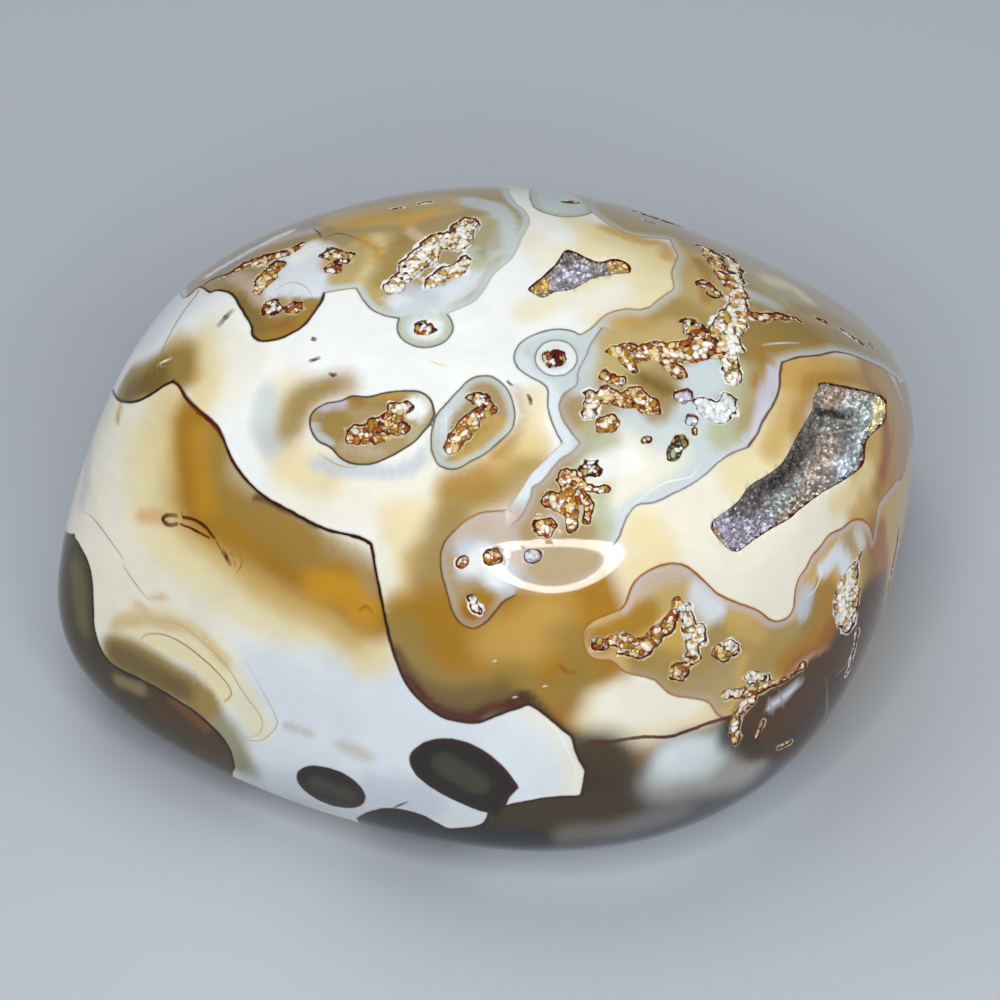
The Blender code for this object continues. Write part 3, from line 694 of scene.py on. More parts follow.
              (365, 645)),
        brush("honey", 14, 30, 0.9, (190, 420), (188, 490), (215, 530), (285, 580), (345, 620)),
        brush("amber", 22, 24, 1.0, (202, 424), (202, 480), (226, 515), (290, 552), (340, 585),
              (372, 606)),
        brush("olive", 12, 22, 0.7, (216, 440), (234, 486), (262, 520), (310, 550)),
        brush("gold", 6, 24, 0.9, (318, 590), (345, 592), (362, 612)),
        brush("gold", 3, 20, 0.5, (198, 440), (206, 500)),
        brush("taupe", 5, 14, 0.6, (330, 545), (362, 562), (374, 590)),
        brush("umber", 1, 6, 0.8, (256, 498), (285, 512), (312, 524)),
        brush("orange", 2, 12, 0.7, (142, 517), (165, 518)),
        brush("orange", 2, 6, 0.8, (134, 606), (144, 610)),
        brush("orange", 1, 5, 0.7, (148, 597), (162, 599)),
        brush("honey", 1, 5, 0.8, (120, 405), (118, 424)),
        brush("cream", 9, 16, 0.7, (125, 632), (165, 622), (205, 650), (240, 690), (256, 725)),
        brush("honey", 2, 12, 0.6, (120, 625), (150, 618), (190, 630), (222, 660)),
        brush("moss", 7, 22, 0.8, (205, 712), (228, 738), (240, 765)),
        brush("olive", 14, 16, 1.0, (122, 656), (150, 670), (178, 686), (198, 700)),
        brush("bog", 4, 18, 0.6, (122, 655), (150, 672), (180, 690)),
        brush("cream", 6, 8, 1.0, (154, 642), (186, 654), (214, 680), (222, 694)),
        brush("taupe", 1, 8, 0.5, (290, 728), (312, 735)),
        brush("taupe", 2, 12, 0.4, (340, 745), (362, 758)),
    )),
    zone("far_field", 4, "honey", rim="milk", rim_strength=0.6, outline=(
        hidden(0.9, (120, 4), (130, 0), (140, 2), (148, -4), (150, -16), (140, -28), (124, -32),
               (108, -26), (102, -14), (110, -4), (120, 4)),
    ), strokes=(
        far_brush("amber", 30, 40, 1.0, (115, -14), (130, -20), (140, -18)),
        far_brush("olive", 10, 40, 0.9, (110, -20), (125, -26), (140, -24)),
        far_brush("straw", 6, 30, 0.8, (124, -2), (138, -4)),
    )),
    zone("far_eye", 5, "cocoa", outline=(
        hidden(0.9, (72, -12), (78, -8), (86, -10), (88, -17), (82, -22), (74, -20), (72, -12)),
    ), strokes=(far_brush("fern", 8, 14, 0.9, (78, -14), (82, -16)),)),
    # A dark olive band along the lower left edge: partly the stone's own colour, partly painted shade on
    # the side that faces down.
    zone("low_west", 5, "bog", outline=(
        seen(0.8, (73, 536), (80, 547), (88, 563), (92, 583), (93, 605), (94, 627), (99, 645),
             (107, 659), (119, 669), (135, 677), (155, 687), (175, 699), (195, 712), (212, 727),
             (224, 740), (231, 753), (234, 767), line="cocoa"),
        hidden(0.9, (226, -16), (218, -38), (200, -42), (180, -25), (180, -5), (189, 6)),
    ), strokes=(
        brush("moss", 3, 20, 0.5, (78, 570), (84, 620)),
        brush("umber", 12, 16, 1.0, (165, 705), (200, 730), (215, 755)),
        brush("ember", 1, 10, 0.4, (175, 702), (205, 728)),
        brush("taupe", 3, 10, 0.5, (120, 680), (142, 690)),
    )),
    zone("small_eye", 5, "cocoa", oval(0.9, 331, 787, 35, 16.5, -22), strokes=(
        brush("fern", 5, 9, 0.9, (318, 782), (344, 793)),
    )),
    zone("large_eye", 5, "cocoa", outline=(
        seen(0.9, (517, 787), (510, 777), (500, 765), (485, 753), (468, 744), (450, 740), (432, 741),
             (418, 748), (411, 758), (414, 770), (428, 784), (448, 796), (468, 805), (480, 810),
             (489, 812)),
        seen(0.8, (489, 812), (496, 816), (503, 807)),
        seen(0.9, (503, 807), (508, 797), (517, 787)),
    ), strokes=(
        brush("fern", 10, 9, 1.0, (446, 762), (462, 772), (476, 782)),
    )),
)

# Open tubes and crusts, each a chain of places with the half width there, all in sheet units, and
# what lines it
CRUSTS = (
    ("gold", (222, 277, 2), (236, 270, 4), (250, 263, 7), (263, 260, 9), (275, 256, 5), (290, 251, 5),
     (302, 244, 3)),
    ("gold", (276, 266, 8), (264, 280, 7), (257, 291, 4)),
    ("brown", (269, 308, 8), (272, 308, 8)),
    ("brown", (292, 308, 6), (296, 308, 6)),
    ("brown", (331, 253, 7), (346, 257, 7)),
    ("brown", (332, 268, 6), (335, 268, 6)),
    ("white", (393, 287, 7), (402, 277, 7), (412, 266, 10), (426, 252, 11), (440, 240, 10),
     (458, 242, 9), (466, 224, 10)),
    ("white", (428, 283, 5), (442, 274, 6), (455, 270, 7), (465, 261, 5)),
    ("brown", (422, 328, 6), (427, 328, 6)),
    ("brown", (567, 202, 4), (575, 202, 4)),
    ("brown", (552, 359, 7), (557, 358, 7)),
    ("gold", (711, 252, 8), (716, 262, 8), (725, 275, 8), (738, 292, 9)),
    ("white", (728, 256, 6), (734, 266, 7), (738, 285, 5)),
    ("brown", (704, 283, 6), (714, 292, 7)),
    ("white", (738, 296, 7), (737, 312, 10), (726, 332, 13), (734, 346, 7)),
    ("gold", (745, 315, 7), (762, 317, 5), (780, 316, 4), (798, 320, 3)),
    ("gold", (722, 340, 13), (700, 348, 12), (675, 352, 10), (650, 352, 9), (628, 353, 8),
     (613, 350, 4)),
    ("brown", (690, 325, 7), (700, 335, 9)),
    ("brown", (625, 358, 5), (634, 370, 3)),
    ("gold", (665, 360, 5), (678, 372, 6)),
    ("white", (730, 358, 7), (733, 376, 7)),
    ("milk", (702, 402, 6), (712, 410, 9), (724, 412, 8), (728, 399, 6)),
    ("lilac", (682, 396, 6), (684, 396, 6)),
    ("lilac", (690, 420, 4), (692, 420, 4)),
    ("brown", (606, 375, 5), (620, 381, 5)),
    ("white", (592, 397, 6), (590, 411, 6)),
    ("gold", (606, 394, 8), (622, 400, 7), (637, 398, 9), (650, 406, 8)),
    ("gold", (603, 425, 6), (611, 422, 7)),
    ("brown", (645, 440, 3), (647, 440, 3)),
    ("brown", (695, 430, 2), (695, 433, 2)),
    ("moss", (674, 455, 5), (681, 441, 6)),
    ("gold", (355, 434, 8), (362, 434, 9), (373, 425, 6), (386, 419, 6), (397, 411, 8),
     (405, 407, 6)),
    ("gold", (396, 428, 6), (400, 428, 6)),
    ("gold", (374, 438, 4), (384, 437, 4)),
    ("brown", (476, 398, 6), (483, 399, 7)),
    ("brown", (485, 409, 7), (489, 408, 7)),
    ("gold", (478, 414, 6), (466, 428, 8), (458, 438, 8), (451, 449, 6)),
    ("brown", (588, 468, 7), (592, 468, 7)),
    ("gold", (568, 478, 8), (577, 492, 9), (562, 503, 8), (551, 499, 6)),
    ("gold", (576, 480, 4), (588, 488, 4), (605, 489, 3)),
    ("gold", (583, 497, 6), (588, 507, 4), (587, 520, 3)),
    ("gold", (570, 505, 7), (572, 516, 5), (571, 527, 4)),
    ("gold", (543, 527, 7), (547, 527, 7)),
    ("gold", (491, 556, 6), (493, 556, 6)),
    ("gold", (462, 563, 4), (464, 563, 4)),
    ("lilac", (531, 556, 5), (536, 555, 4)),
    ("white", (473, 600, 4), (476, 611, 4)),
    ("brown", (598, 645, 5), (604, 645, 4)),
    ("gold", (612, 641, 4), (622, 640, 7), (632, 648, 8), (645, 646, 8), (655, 636, 6),
     (668, 627, 6), (675, 613, 5), (677, 603, 4)),
    ("white", (684, 607, 5), (688, 622, 5), (692, 638, 6), (693, 652, 5)),
    ("white", (701, 628, 4), (702, 641, 4)),
    ("gold", (677, 672, 7), (681, 672, 7)),
    ("gold", (687, 666, 2), (698, 658, 3)),
    ("gold", (717, 651, 5), (726, 655, 6)),
    ("white", (727, 643, 3), (735, 650, 5)),
    ("white", (748, 676, 5), (756, 679, 6), (766, 680, 4)),
    ("gold", (728, 694, 5), (741, 693, 5)),
    ("gold", (738, 714, 4), (748, 703, 6), (753, 692, 6), (768, 685, 3), (786, 679, 2), (803, 666, 2)),
    ("gold", (736, 718, 4), (735, 730, 5), (737, 740, 4)),
    ("gold", (757, 737, 2), (763, 722, 2)),
    ("gold", (779, 748, 2), (790, 742, 2)),
    ("brown", (801, 666, 3), (804, 666, 3)),
    ("white", (852, 577, 11), (848, 590, 16), (848, 606, 17), (850, 619, 13)),
    ("white", (857, 632, 3), (855, 645, 3), (852, 656, 3), (850, 666, 2), (847, 673, 2)),
    ("white", (861, 553, 1.5), (855, 570, 2)),
    # Small pits along the outline, lined white so that they show as bright specks: partly painted
    # highlights standing in for glints at the edge.
    ("white", (392, 209, 2), (400, 208, 2)),
    ("white", (420, 203, 2), (430, 202, 2)),
    ("white", (646, 220, 2), (654, 223, 2)),
    ("white", (698, 245, 3), (714, 252, 3), (734, 264, 3)),
    ("gold", (818, 319, 3), (825, 322, 3)),
    ("white", (842, 330, 3), (852, 337, 3), (862, 343, 3)),
    ("white", (868, 343, 2), (874, 348, 2)),
    ("white", (888, 590, 2), (892, 570, 3), (896, 550, 3), (899, 530, 2)),
)

# The ground and the zones' layers, how deep a zone is followed in mm and where its colour starts and is
# full. Then how soft stains are moved about, by wave length and size in mm, and what a ripple is made
# of: its number of waves and their least and most length
LAYERS = 6
ZONE_REACH = 6.0
ZONE_SPILL = (-1.2, -0.4)
WARP_LENGTHS = (9.0, 4.0)
WARP_SIZES = (0.45, 0.2)
RIPPLE_WAVES = 7
RIPPLE_LENGTHS = (0.7, 1.4)


def ripples(points, length, seed):
    """A smooth uneven value about -1 to 1: sines along random directions, near that wave length."""
    chance = np.random.default_rng(seed)
    ways = unit(chance.normal(size=(RIPPLE_WAVES, 3)))
    waves = ways / (length * chance.uniform(*RIPPLE_LENGTHS, RIPPLE_WAVES))[:, None]
    phases = chance.uniform(0, 2 * math.pi, RIPPLE_WAVES)
    return np.sin(2 * math.pi * points @ waves.T + phases).sum(-1) / math.sqrt(RIPPLE_WAVES / 2) / 2


def warped(points):
    """Points moved about a little, so that soft stains get uneven edges."""
    moved = points.copy()
    for octave, (length, size) in enumerate(zip(WARP_LENGTHS, WARP_SIZES)):
        for axis in range(3):
            moved[:, axis] += size * ripples(points, length, 10 * octave + axis)
    return moved


def nearest(points, chain, reach):
    """How far points are from a chain, at most reach, and where along it, as the number of the chain's
    point. The chain is gone through in short lengths, each with the points round it alone."""
    away, along = np.full(len(points), float(reach)), np.zeros(len(points))
    for first in range(0, len(chain) - 1, CHAIN_BLOCK):
        part = chain[first:first + CHAIN_BLOCK + 1]
        start, step = part[:-1], np.diff(part, axis=0)
        span = np.maximum((step ** 2).sum(-1), TINY)
        low, high = part.min(0) - reach, part.max(0) + reach
        near = np.flatnonzero(((points > low) & (points < high)).all(1))
        for block in np.array_split(near, len(near) // BLOCK + 1):
            offset = points[block, None] - start
            share = np.clip((offset * step).sum(-1) / span, 0.0, 1.0)
            apart = np.sqrt(((offset - share[..., None] * step) ** 2).sum(-1))
            best = apart.argmin(1)
            rows = np.arange(len(block))
            closer = apart[rows, best] < away[block]
            away[block[closer]] = apart[rows, best][closer]
            along[block[closer]] = first + (best + share[rows, best])[closer]
    return away, along


def chart(points):
    """Points of the skin on one flat map: its middle faces the eye, and its far rim is the far side."""
    ways = unit(points - HEART)
    return np.stack((ways @ EYE_RIGHT, ways @ EYE_UP), -1) / (1 + ways @ EYE_OUT)[..., None]


def enclosed(places, outline):
    """Whether places of the map lie in an outline: a line to their right crosses it an odd number of
    times."""
    ahead = np.roll(outline, -1, axis=0)
    rise = ahead[:, 1] - outline[:, 1]
    lean = (ahead[:, 0] - outline[:, 0]) / np.where(rise == 0, TINY, rise)
    odd = np.zeros(len(places), bool)
    for block in np.array_split(np.arange(len(places)), len(places) // BLOCK + 1):
        x, y = places[block, :1], places[block, 1:]
        spans = (outline[:, 1] > y) != (ahead[:, 1] > y)
        crossing = outline[:, 0] + (y - outline[:, 1]) * lean
        odd[block] = (spans & (x < crossing)).sum(1) % 2 == 1
    return odd


def depth_in(points, places, outline):
    """How deep points lie in an outline in mm, below 0 outside, and the marks of its nearest stroke."""
    chain = np.concatenate([stroke[0] for stroke in outline])
    marks = np.concatenate([stroke[1] for stroke in outline])
    chain, marks = np.concatenate((chain, chain[:1])), np.concatenate((marks, marks[:1]))
    away, along = nearest(points, chain, ZONE_REACH)
    inside = enclosed(places, chart(chain))
    return np.where(inside, away, -away), marks[np.rint(along).astype(int)]


def stroke_share(points, stroke):
    """How strongly a brush stroke colours points."""
    _, half_width, fade, strength, chain = stroke
    away = nearest(points, chain, half_width + fade)[0]
    return strength * (1 - smooth(away, half_width, half_width + fade))


def blend(below, above, share):
    """Colours below mixed with colours above by share."""
    return below + (above - below) * share[:, None]


def paint(points, colours):
    """The colour, line, rim and depth of every layer at points of the skin. Beside the line's colour
    stands its ink, and beside the rim's its strength."""
    moved, places = warped(points), chart(points)
    tint = [np.tile(colours[GROUND_COLOUR], (len(points), 1)) for _ in range(LAYERS)]
    line = [np.zeros((len(points), 4)) for _ in range(LAYERS)]
    rim = [np.zeros((len(points), 4)) for _ in range(LAYERS)]
    depth = [np.full(len(points), -ZONE_REACH) for _ in range(LAYERS)]
    shades = np.array([colours[name] for name in SHADES])
    for stroke in GROUND:
        tint[0] = blend(tint[0], colours[stroke[0]], stroke_share(moved, stroke))
    for part in ZONES:
        layer = part["layer"]
        inner, marks = depth_in(points, places, part["outline"])
        if part["within"]:
            inner = np.minimum(inner, depth[layer - 1])
        cover = smooth(inner, *ZONE_SPILL)
        tint[layer] = blend(tint[layer], colours[part["colour"]], cover)
        for stroke in part["strokes"]:
            share = cover * stroke_share(moved, stroke)
            tint[layer] = blend(tint[layer], colours[stroke[0]], share)
        top = (inner > depth[layer])[:, None]
        depth[layer] = np.maximum(depth[layer], inner)
        drawn = np.concatenate((shades[marks[:, 2].astype(int)], marks[:, :1]), 1)
        line[layer] = np.where(top, drawn, line[layer])
        edge = np.tile(colours[part["rim"]], (len(points), 1))
        edge = np.concatenate((edge, part["rim_strength"] * marks[:, 1:2]), 1)
        rim[layer] = np.where(top, edge, rim[layer])
    return tint, line, rim, depth


# What an open tube or a hollow shows by its lining: the colour in its bowl, the colour and strength
# of the band round its rim, and the colours of the lumps in it
LININGS = {
    "gold": ("rust", "cream", 0.5, ("maroon", "rust", "amber", "butter", "ivory", "milk")),
    "white": ("amber", "milk", 1.0, ("umber", "honey", "ivory", "milk", "milk", "milk")),
    "brown": ("maroon", "cream", 0.4, ("cocoa", "maroon", "rust", "honey", "milk", "milk")),
    "moss": ("fern", "sage", 0.6, ("fern", "bog", "moss", "sage", "milk")),
    "milk": ("mist", "milk", 0.9, ("mist", "frost", "milk", "milk")),
    "lilac": ("ash", "lilac", 0.9, ("blush", "lilac", "mist", "milk")),
    # A hollow's bowl colour is a painted shade: dark grey on the wall under its crust, where light hardly
    # reaches.
    "hollow": ("soot", "ash", 0.0, ("soot",)),
}

# Open tubes on the hidden sides: the lining, then azimuth, tilt and half width at each place
HIDDEN_CRUSTS = (
    ("gold", (47, 33, 5), (50, 36, 6), (54, 37, 4)),
    ("white", (117, 33, 7), (122, 29, 6), (126, 26, 5)),
    ("brown", (118, 25, 7), (119.5, 25, 7)),
    ("brown", (104, 9, 6), (105, 9, 6)),
    ("gold", (20, -8, 4), (24, -4, 7), (29, -3, 6)),
    ("brown", (83, 28, 6), (84, 28, 6)),
    ("gold", (70, 16.5, 6), (73.5, 13, 5)),
)

# Thin lines on the skin: the colour, the half width in sheet units, the ink at the first end, in the
# middle and at the last end, and the places. The lines of one set stay well apart from each other.
CRACKS = (
    ("umber", 2.2, (0.6, 1.0, 0.9), (201, 287), (211, 280), (222, 275)),
    ("olive", 1.2, (0.9, 0.8, 0.4), (199, 290), (195, 297), (189, 304), (175, 325), (162, 352),
     (157, 375)),
    ("bog", 3.6, (0.2, 0.9, 0.3), (234, 309), (226, 317), (217, 327)),
    ("milk", 1.6, (0.2, 0.9, 0.2), (157, 366), (165, 361), (172, 358)),
    ("maroon", 2.2, (0.6, 1.0, 0.7), (178, 516), (168, 515), (163, 519), (168, 525), (178, 524)),
    ("maroon", 1.8, (0.9, 1.0, 0.8), (182, 517), (192, 519), (202, 524), (209, 531), (215, 539)),
    ("maroon", 2.6, (0.3, 1.0, 0.3), (221, 549), (226, 557), (231, 566)),
    ("amber", 1.2, (0.3, 0.9, 0.3), (238, 550), (242, 560), (240, 568), (236, 574)),
    ("ash", 1.0, (0.0, 0.9, 0.5), (81, 510), (93, 518), (107, 536), (124, 560)),
    ("taupe", 1.0, (0.5, 0.8, 0.2), (124, 567), (135, 583), (149, 601)),
    ("ember", 1.1, (0.3, 0.8, 0.4), (140, 640), (148, 634), (165, 635), (185, 645), (210, 665),
     (228, 685), (231, 695), (224, 702)),
    ("maroon", 2.6, (0.2, 1.0, 0.3), (182, 391), (196, 409), (207, 418), (217, 428), (222, 437)),
    ("honey", 1.0, (0.2, 0.7, 0.4), (245, 660), (262, 690), (275, 715), (276, 727), (262, 740),
     (245, 740)),
    ("maroon", 2.0, (0.8, 1.0, 0.9), (590, 742), (615, 741), (642, 737), (668, 737), (690, 730),
     (712, 722), (733, 716)),
    ("maroon", 1.3, (0.9, 0.8, 0.3), (737, 713), (757, 690), (785, 685), (803, 668), (825, 655)),
    ("line", 1.2, (0.3, 0.9, 0.3), (392, 809), (400, 805), (409, 801)),
    ("umber", 1.0, (0.5, 0.9, 0.3), (143, 680), (150, 690), (157, 702)),
    ("milk", 1.0, (0.3, 0.8, 0.3), (700, 465), (690, 477), (670, 481), (655, 488), (635, 503)),
    ("ember", 1.8, (0.4, 0.8, 0.2), (358, 612), (366, 606), (373, 614)),
    ("umber", 1.2, (0.3, 0.8, 0.4), (313, 228), (318, 232), (322, 238)),
    ("rust", 1.4, (0.3, 0.8, 0.2), (893, 415), (893, 435), (888, 455), (880, 470)),
    ("maroon", 2.0, (0.5, 1.0, 0.5), (309, 361), (314, 360), (320, 357)),
    ("umber", 1.7, (0.5, 1.0, 0.5), (527, 394), (530, 399), (531, 405)),
    ("maroon", 1.5, (0.5, 0.9, 0.5), (507, 380), (509, 383), (513, 386)),
    ("taupe", 0.8, (0.2, 0.7, 0.2), (275, 291), (285, 284), (298, 283), (309, 290), (313, 302)),
    ("ember", 2.6, (0.4, 0.9, 0.4), (557, 664), (566, 671), (577, 673)),
    ("amber", 1.0, (0.2, 0.7, 0.2), (588, 655), (584, 645), (586, 634), (594, 628), (606, 630)),
    ("gold", 0.9, (0.2, 0.7, 0.2), (318, 452), (332, 462), (346, 467), (358, 467)),
)
VEINS = (
    ("maroon", 1.4, (0.8, 1.0, 0.8), (180, 524), (190, 528), (200, 533), (210, 538)),
    ("umber", 0.9, (0.6, 0.8, 0.6), (216, 541), (219, 546), (221, 549)),
    ("taupe", 0.9, (0.2, 0.7, 0.2), (162, 620), (180, 625), (200, 640), (225, 664), (245, 695),
     (260, 715), (262, 728), (255, 736), (240, 738)),
    ("umber", 1.0, (0.3, 0.8, 0.3), (325, 238), (334, 234), (343, 234), (360, 240)),
    ("butter", 1.0, (0.3, 0.7, 0.3), (430, 360), (438, 364), (447, 366)),
    ("maroon", 1.9, (0.5, 1.0, 0.5), (329, 373), (333, 375), (337, 374)),
    ("maroon", 2.2, (0.6, 1.0, 0.6), (311, 338), (313, 339), (316, 340)),
    ("amber", 1.4, (0.2, 0.6, 0.2), (255, 500), (275, 513), (295, 522), (312, 528)),
    ("rust", 1.0, (0.3, 0.8, 0.2), (866, 540), (874, 560), (880, 590), (876, 620)),
    ("amber", 1.2, (0.3, 0.8, 0.3), (858, 640), (850, 660), (836, 676)),
    ("umber", 1.1, (0.3, 0.8, 0.2), (595, 741), (600, 752), (606, 768)),
    ("milk", 1.3, (0.2, 0.9, 0.2), (534, 712), (548, 722), (560, 735), (567, 750), (576, 770),
     (572, 790)),
    ("milk", 1.0, (0.2, 0.8, 0.2), (560, 795), (540, 796), (520, 800)),
    ("milk", 1.0, (0.1, 0.8, 0.1), (497, 661), (495, 661), (492, 662)),
    ("milk", 1.0, (0.1, 0.8, 0.1), (548, 686), (545, 686), (542, 687)),
    ("milk", 1.0, (0.1, 0.8, 0.1), (518, 697), (515, 697), (512, 698)),
    ("milk", 0.9, (0.2, 0.9, 0.2), (818, 565), (821, 575), (815, 590), (806, 598)),
    ("honey", 1.2, (0.2, 0.8, 0.2), (115, 408), (118, 416), (119, 426)),
    # A white line along a fine vein that stands in for a glint on it: painted highlight.
    ("frost", 1.2, (0.2, 0.8, 0.2), (762, 345), (780, 343), (800, 343)),
)

# How far off a thin line is followed in mm, where its ink fades out, and its chain's gap
LINE_REACH = 1.7
LINE_FADE = (0.36, 0.6)
LINE_GAP = 3

# Open tubes: how far off one is followed in mm, how much wider it is than its chain says, the waves of
# its rim by length and height with the half width from which they are full, and the share of the half
# width that the side of its bowl takes. Then how far off a hollow's middle line is looked for
CRUST_REACH = 2.2
CRUST_SPREAD = 1.22
TUBE_RAGGED = ((1.9, 0.20), (0.9, 0.16), (0.45, 0.05))
RAGGED_SEED_STEP = 100
RAGGED_FROM = 0.8
BOWL_SIDE = 0.8
MIDDLE_REACH = 10.0

# The skin's mesh in mm: the longest edge in each kind of place, and how near such a place it holds. It
# starts from a ball of so many cells to a side, and a place is seen from that share of facing the eye
CUBE_CELLS = 48
WELD_DIGITS = 7
EDGE_PASSES = 5
SEEN_FROM = -0.1
EDGE_SEEN = 1.0
EDGE_HIDDEN = 1.7
EDGE_OUTLINE = (0.45, 0.35)
EDGE_LINE = (0.3, 0.35)
EDGE_TUBE = (0.2, 0.12)
EDGE_TUBE_NEAR = (0.4, 0.5)
EDGE_RIM = (0.2, 0.25)
RIM_SNAP = 0.1
ATLAS = (3, 2)
ATLAS_MARGIN = 0.006

# A cube's six sides, each by the way right, the way up and the way out
CUBE_SIDES = np.array((
    ((0, 1, 0), (0, 0, 1), (1, 0, 0)),
    ((0, -1, 0), (0, 0, 1), (-1, 0, 0)),
    ((-1, 0, 0), (0, 0, 1), (0, 1, 0)),
    ((1, 0, 0), (0, 0, 1), (0, -1, 0)),
    ((0, 1, 0), (-1, 0, 0), (0, 0, 1)),
    ((0, 1, 0), (1, 0, 0), (0, 0, -1)),
), float)


def hollow_rim(stations):
    """A hollow's rim as a closed chain of the skin, and its middle line."""
    table = np.array(stations, float)
    left, right = table[:, 0:2], table[:, 2:4]
    places = np.concatenate((left, right[::-1]))
    return on_skin(flowing(places, CHAIN_GAP / 2, closed=True)), on_skin((left + right) / 2)


def hollow_inward(points, places, stations):
    """How far in from a hollow's rim points are in mm, below 0 outside, and their place along it from
    0 to 1 with the rim's place beside them."""
    rim, middle = hollow_rim(stations)
    away, along = nearest(points, rim, CRUST_REACH)
    beside = np.stack([np.interp(along, np.arange(len(rim)), axis) for axis in rim.T], -1)
    inside = enclosed(places, chart(rim))
    away = np.where(inside & (away >= CRUST_REACH), CRUST_REACH, away)
    station = nearest(points, middle, MIDDLE_REACH)[1]
    return np.where(inside, away, -away), station, beside


def rounding(distance, reach):
    """A quarter round: 0 at a rim and 1 from reach inward."""
    part = np.clip(distance / reach, 0.0, 1.0)
    return np.sqrt(1 - (1 - part) ** 2)


def hollow_depth(inward, station, stations):
    """How deep a hollow's wall is, by the way in from its rim and its place along it.

    The depth is the station's, rounded up to the whole rim over a share of the hollow's width there,
    but over no more than a set reach. So the wall is steeper than the crust and lies under it.
    """
    table = np.array(stations, float)
    numbers = np.arange(len(table))
    width = np.linalg.norm(table[:, 2:4] - table[:, 0:2], axis=-1) * SHEET_UNIT
    reach = np.minimum(SIDE_ROUNDING * np.interp(station, numbers, width), WALL_REACH)
    floor = np.interp(station, numbers, table[:, 4])
    depth = floor * rounding(inward, reach)
    return np.maximum(depth, WALL_LEAST * rounding(inward, WALL_LEAST_REACH))


def hollow_outward(stations):
    """The way out of a hollow: square to the skin at its middle."""
    return unit(skin_normal(hollow_rim(stations)[1]).mean(0))


def crust_chains():
    """Each open tube's lining, its chain of points on the skin and the half width there in mm."""
    chains = []
    for crust in CRUSTS:
        table = flowing(np.array(crust[1:], float), CHAIN_GAP)
        chains.append((crust[0], on_skin(table[:, :2]), table[:, 2] * CRUST_SPREAD * SHEET_UNIT))
    for crust in HIDDEN_CRUSTS:
        table = flowing(np.array(crust[1:], float), HIDDEN_GAP)
        chains.append((crust[0], skin_point(direction(table[:, 0], table[:, 1])), table[:, 2] * SHEET_UNIT))
    return chains


def tube_gap(points, reach=CRUST_REACH):
    """How far points are from the nearest open tube's rim in mm, below 0 in it, with that tube's half
    width and number. The rim is uneven."""
    gap, size, number = np.full(len(points), reach), np.ones(len(points)), np.zeros(len(points), int)
    for index, (_, chain, widths) in enumerate(crust_chains()):
        limit = reach + widths.max()
        away, along = nearest(points, chain, limit)
        width = np.interp(along, np.arange(len(widths)), widths)
        closer = (away < limit) & (away - width < gap)
        gap = np.where(closer, away - width, gap)
        size = np.where(closer, width, size)
        number = np.where(closer, index, number)
    near = np.flatnonzero(gap < reach)
    for length, height in TUBE_RAGGED:
        share = np.minimum(1.0, size[near] / RAGGED_FROM)
        gap[near] += height * share * ripples(points[near], length, int(RAGGED_SEED_STEP * length))
    return gap, size, number


def tube_depth(gap, size, depth_share, most):
    """How deep the bowl of an open tube is, by the way in from its rim: a quarter round."""
    return np.minimum(depth_share * size, most) * rounding(-gap, BOWL_SIDE * size)


def line_marks(points, lines, colours):
    """The side and the ink of a set of thin lines at points of the skin.

    The side is how far off the nearest line's middle is, as a share of its half width and below 0 on
    its left. The ink is the line's colour and its strength there.
    """
    side = np.full(len(points), LINE_REACH)
    away = np.full(len(points), LINE_REACH)
    ink = np.zeros((len(points), 4))
    for name, half_width, ends, *places in lines:
        chain = on_skin(flowing(places, LINE_GAP))
        distance, along = nearest(points, chain, LINE_REACH)
        closer = np.flatnonzero(distance < away)
        first = np.minimum(along[closer].astype(int), len(chain) - 2)
        step, offset = chain[first + 1] - chain[first], points[closer] - chain[first]
        out = skin_normal(points[closer])
        sign = np.sign((np.cross(step, offset) * out).sum(-1))
        away[closer] = distance[closer]
        side[closer] = sign * distance[closer] / (half_width * SHEET_UNIT)
        share = along[closer] / (len(chain) - 1)
        strength = np.interp(share, (0.0, 0.5, 1.0), ends) * (1 - smooth(distance[closer], *LINE_FADE))
        strength = np.where((share > 0) & (share < 1), strength, 0.0)
        ink[closer, :3], ink[closer, 3] = colours[name], strength
    return side, ink


def cube_ball(cells):
    """A ball of directions from a cube: each side is a grid with equal angles between its lines, and
    the lines that two sides share are joined. Gives the directions, the triangles and their sides."""
    steps = np.tan(np.linspace(-1, 1, cells + 1) * math.pi / 4)
    across, up = np.meshgrid(steps, steps)
    ways = unit(np.concatenate([
        across.reshape(-1, 1) * right + up.reshape(-1, 1) * rise + out for right, rise, out in CUBE_SIDES
    ]))
    corner = (np.arange(cells)[:, None] * (cells + 1) + np.arange(cells)).ravel()
    lower = np.stack((corner, corner + 1, corner + cells + 2), -1)
    upper = np.stack((corner, corner + cells + 2, corner + cells + 1), -1)
    square = np.concatenate((lower, upper))
    triangles = np.concatenate([square + side * (cells + 1) ** 2 for side in range(len(CUBE_SIDES))])
    sides = np.repeat(np.arange(len(CUBE_SIDES)), len(square))
    _, first, joined = np.unique(ways.round(WELD_DIGITS), axis=0, return_index=True, return_inverse=True)
    return ways[first], joined.ravel()[triangles], sides


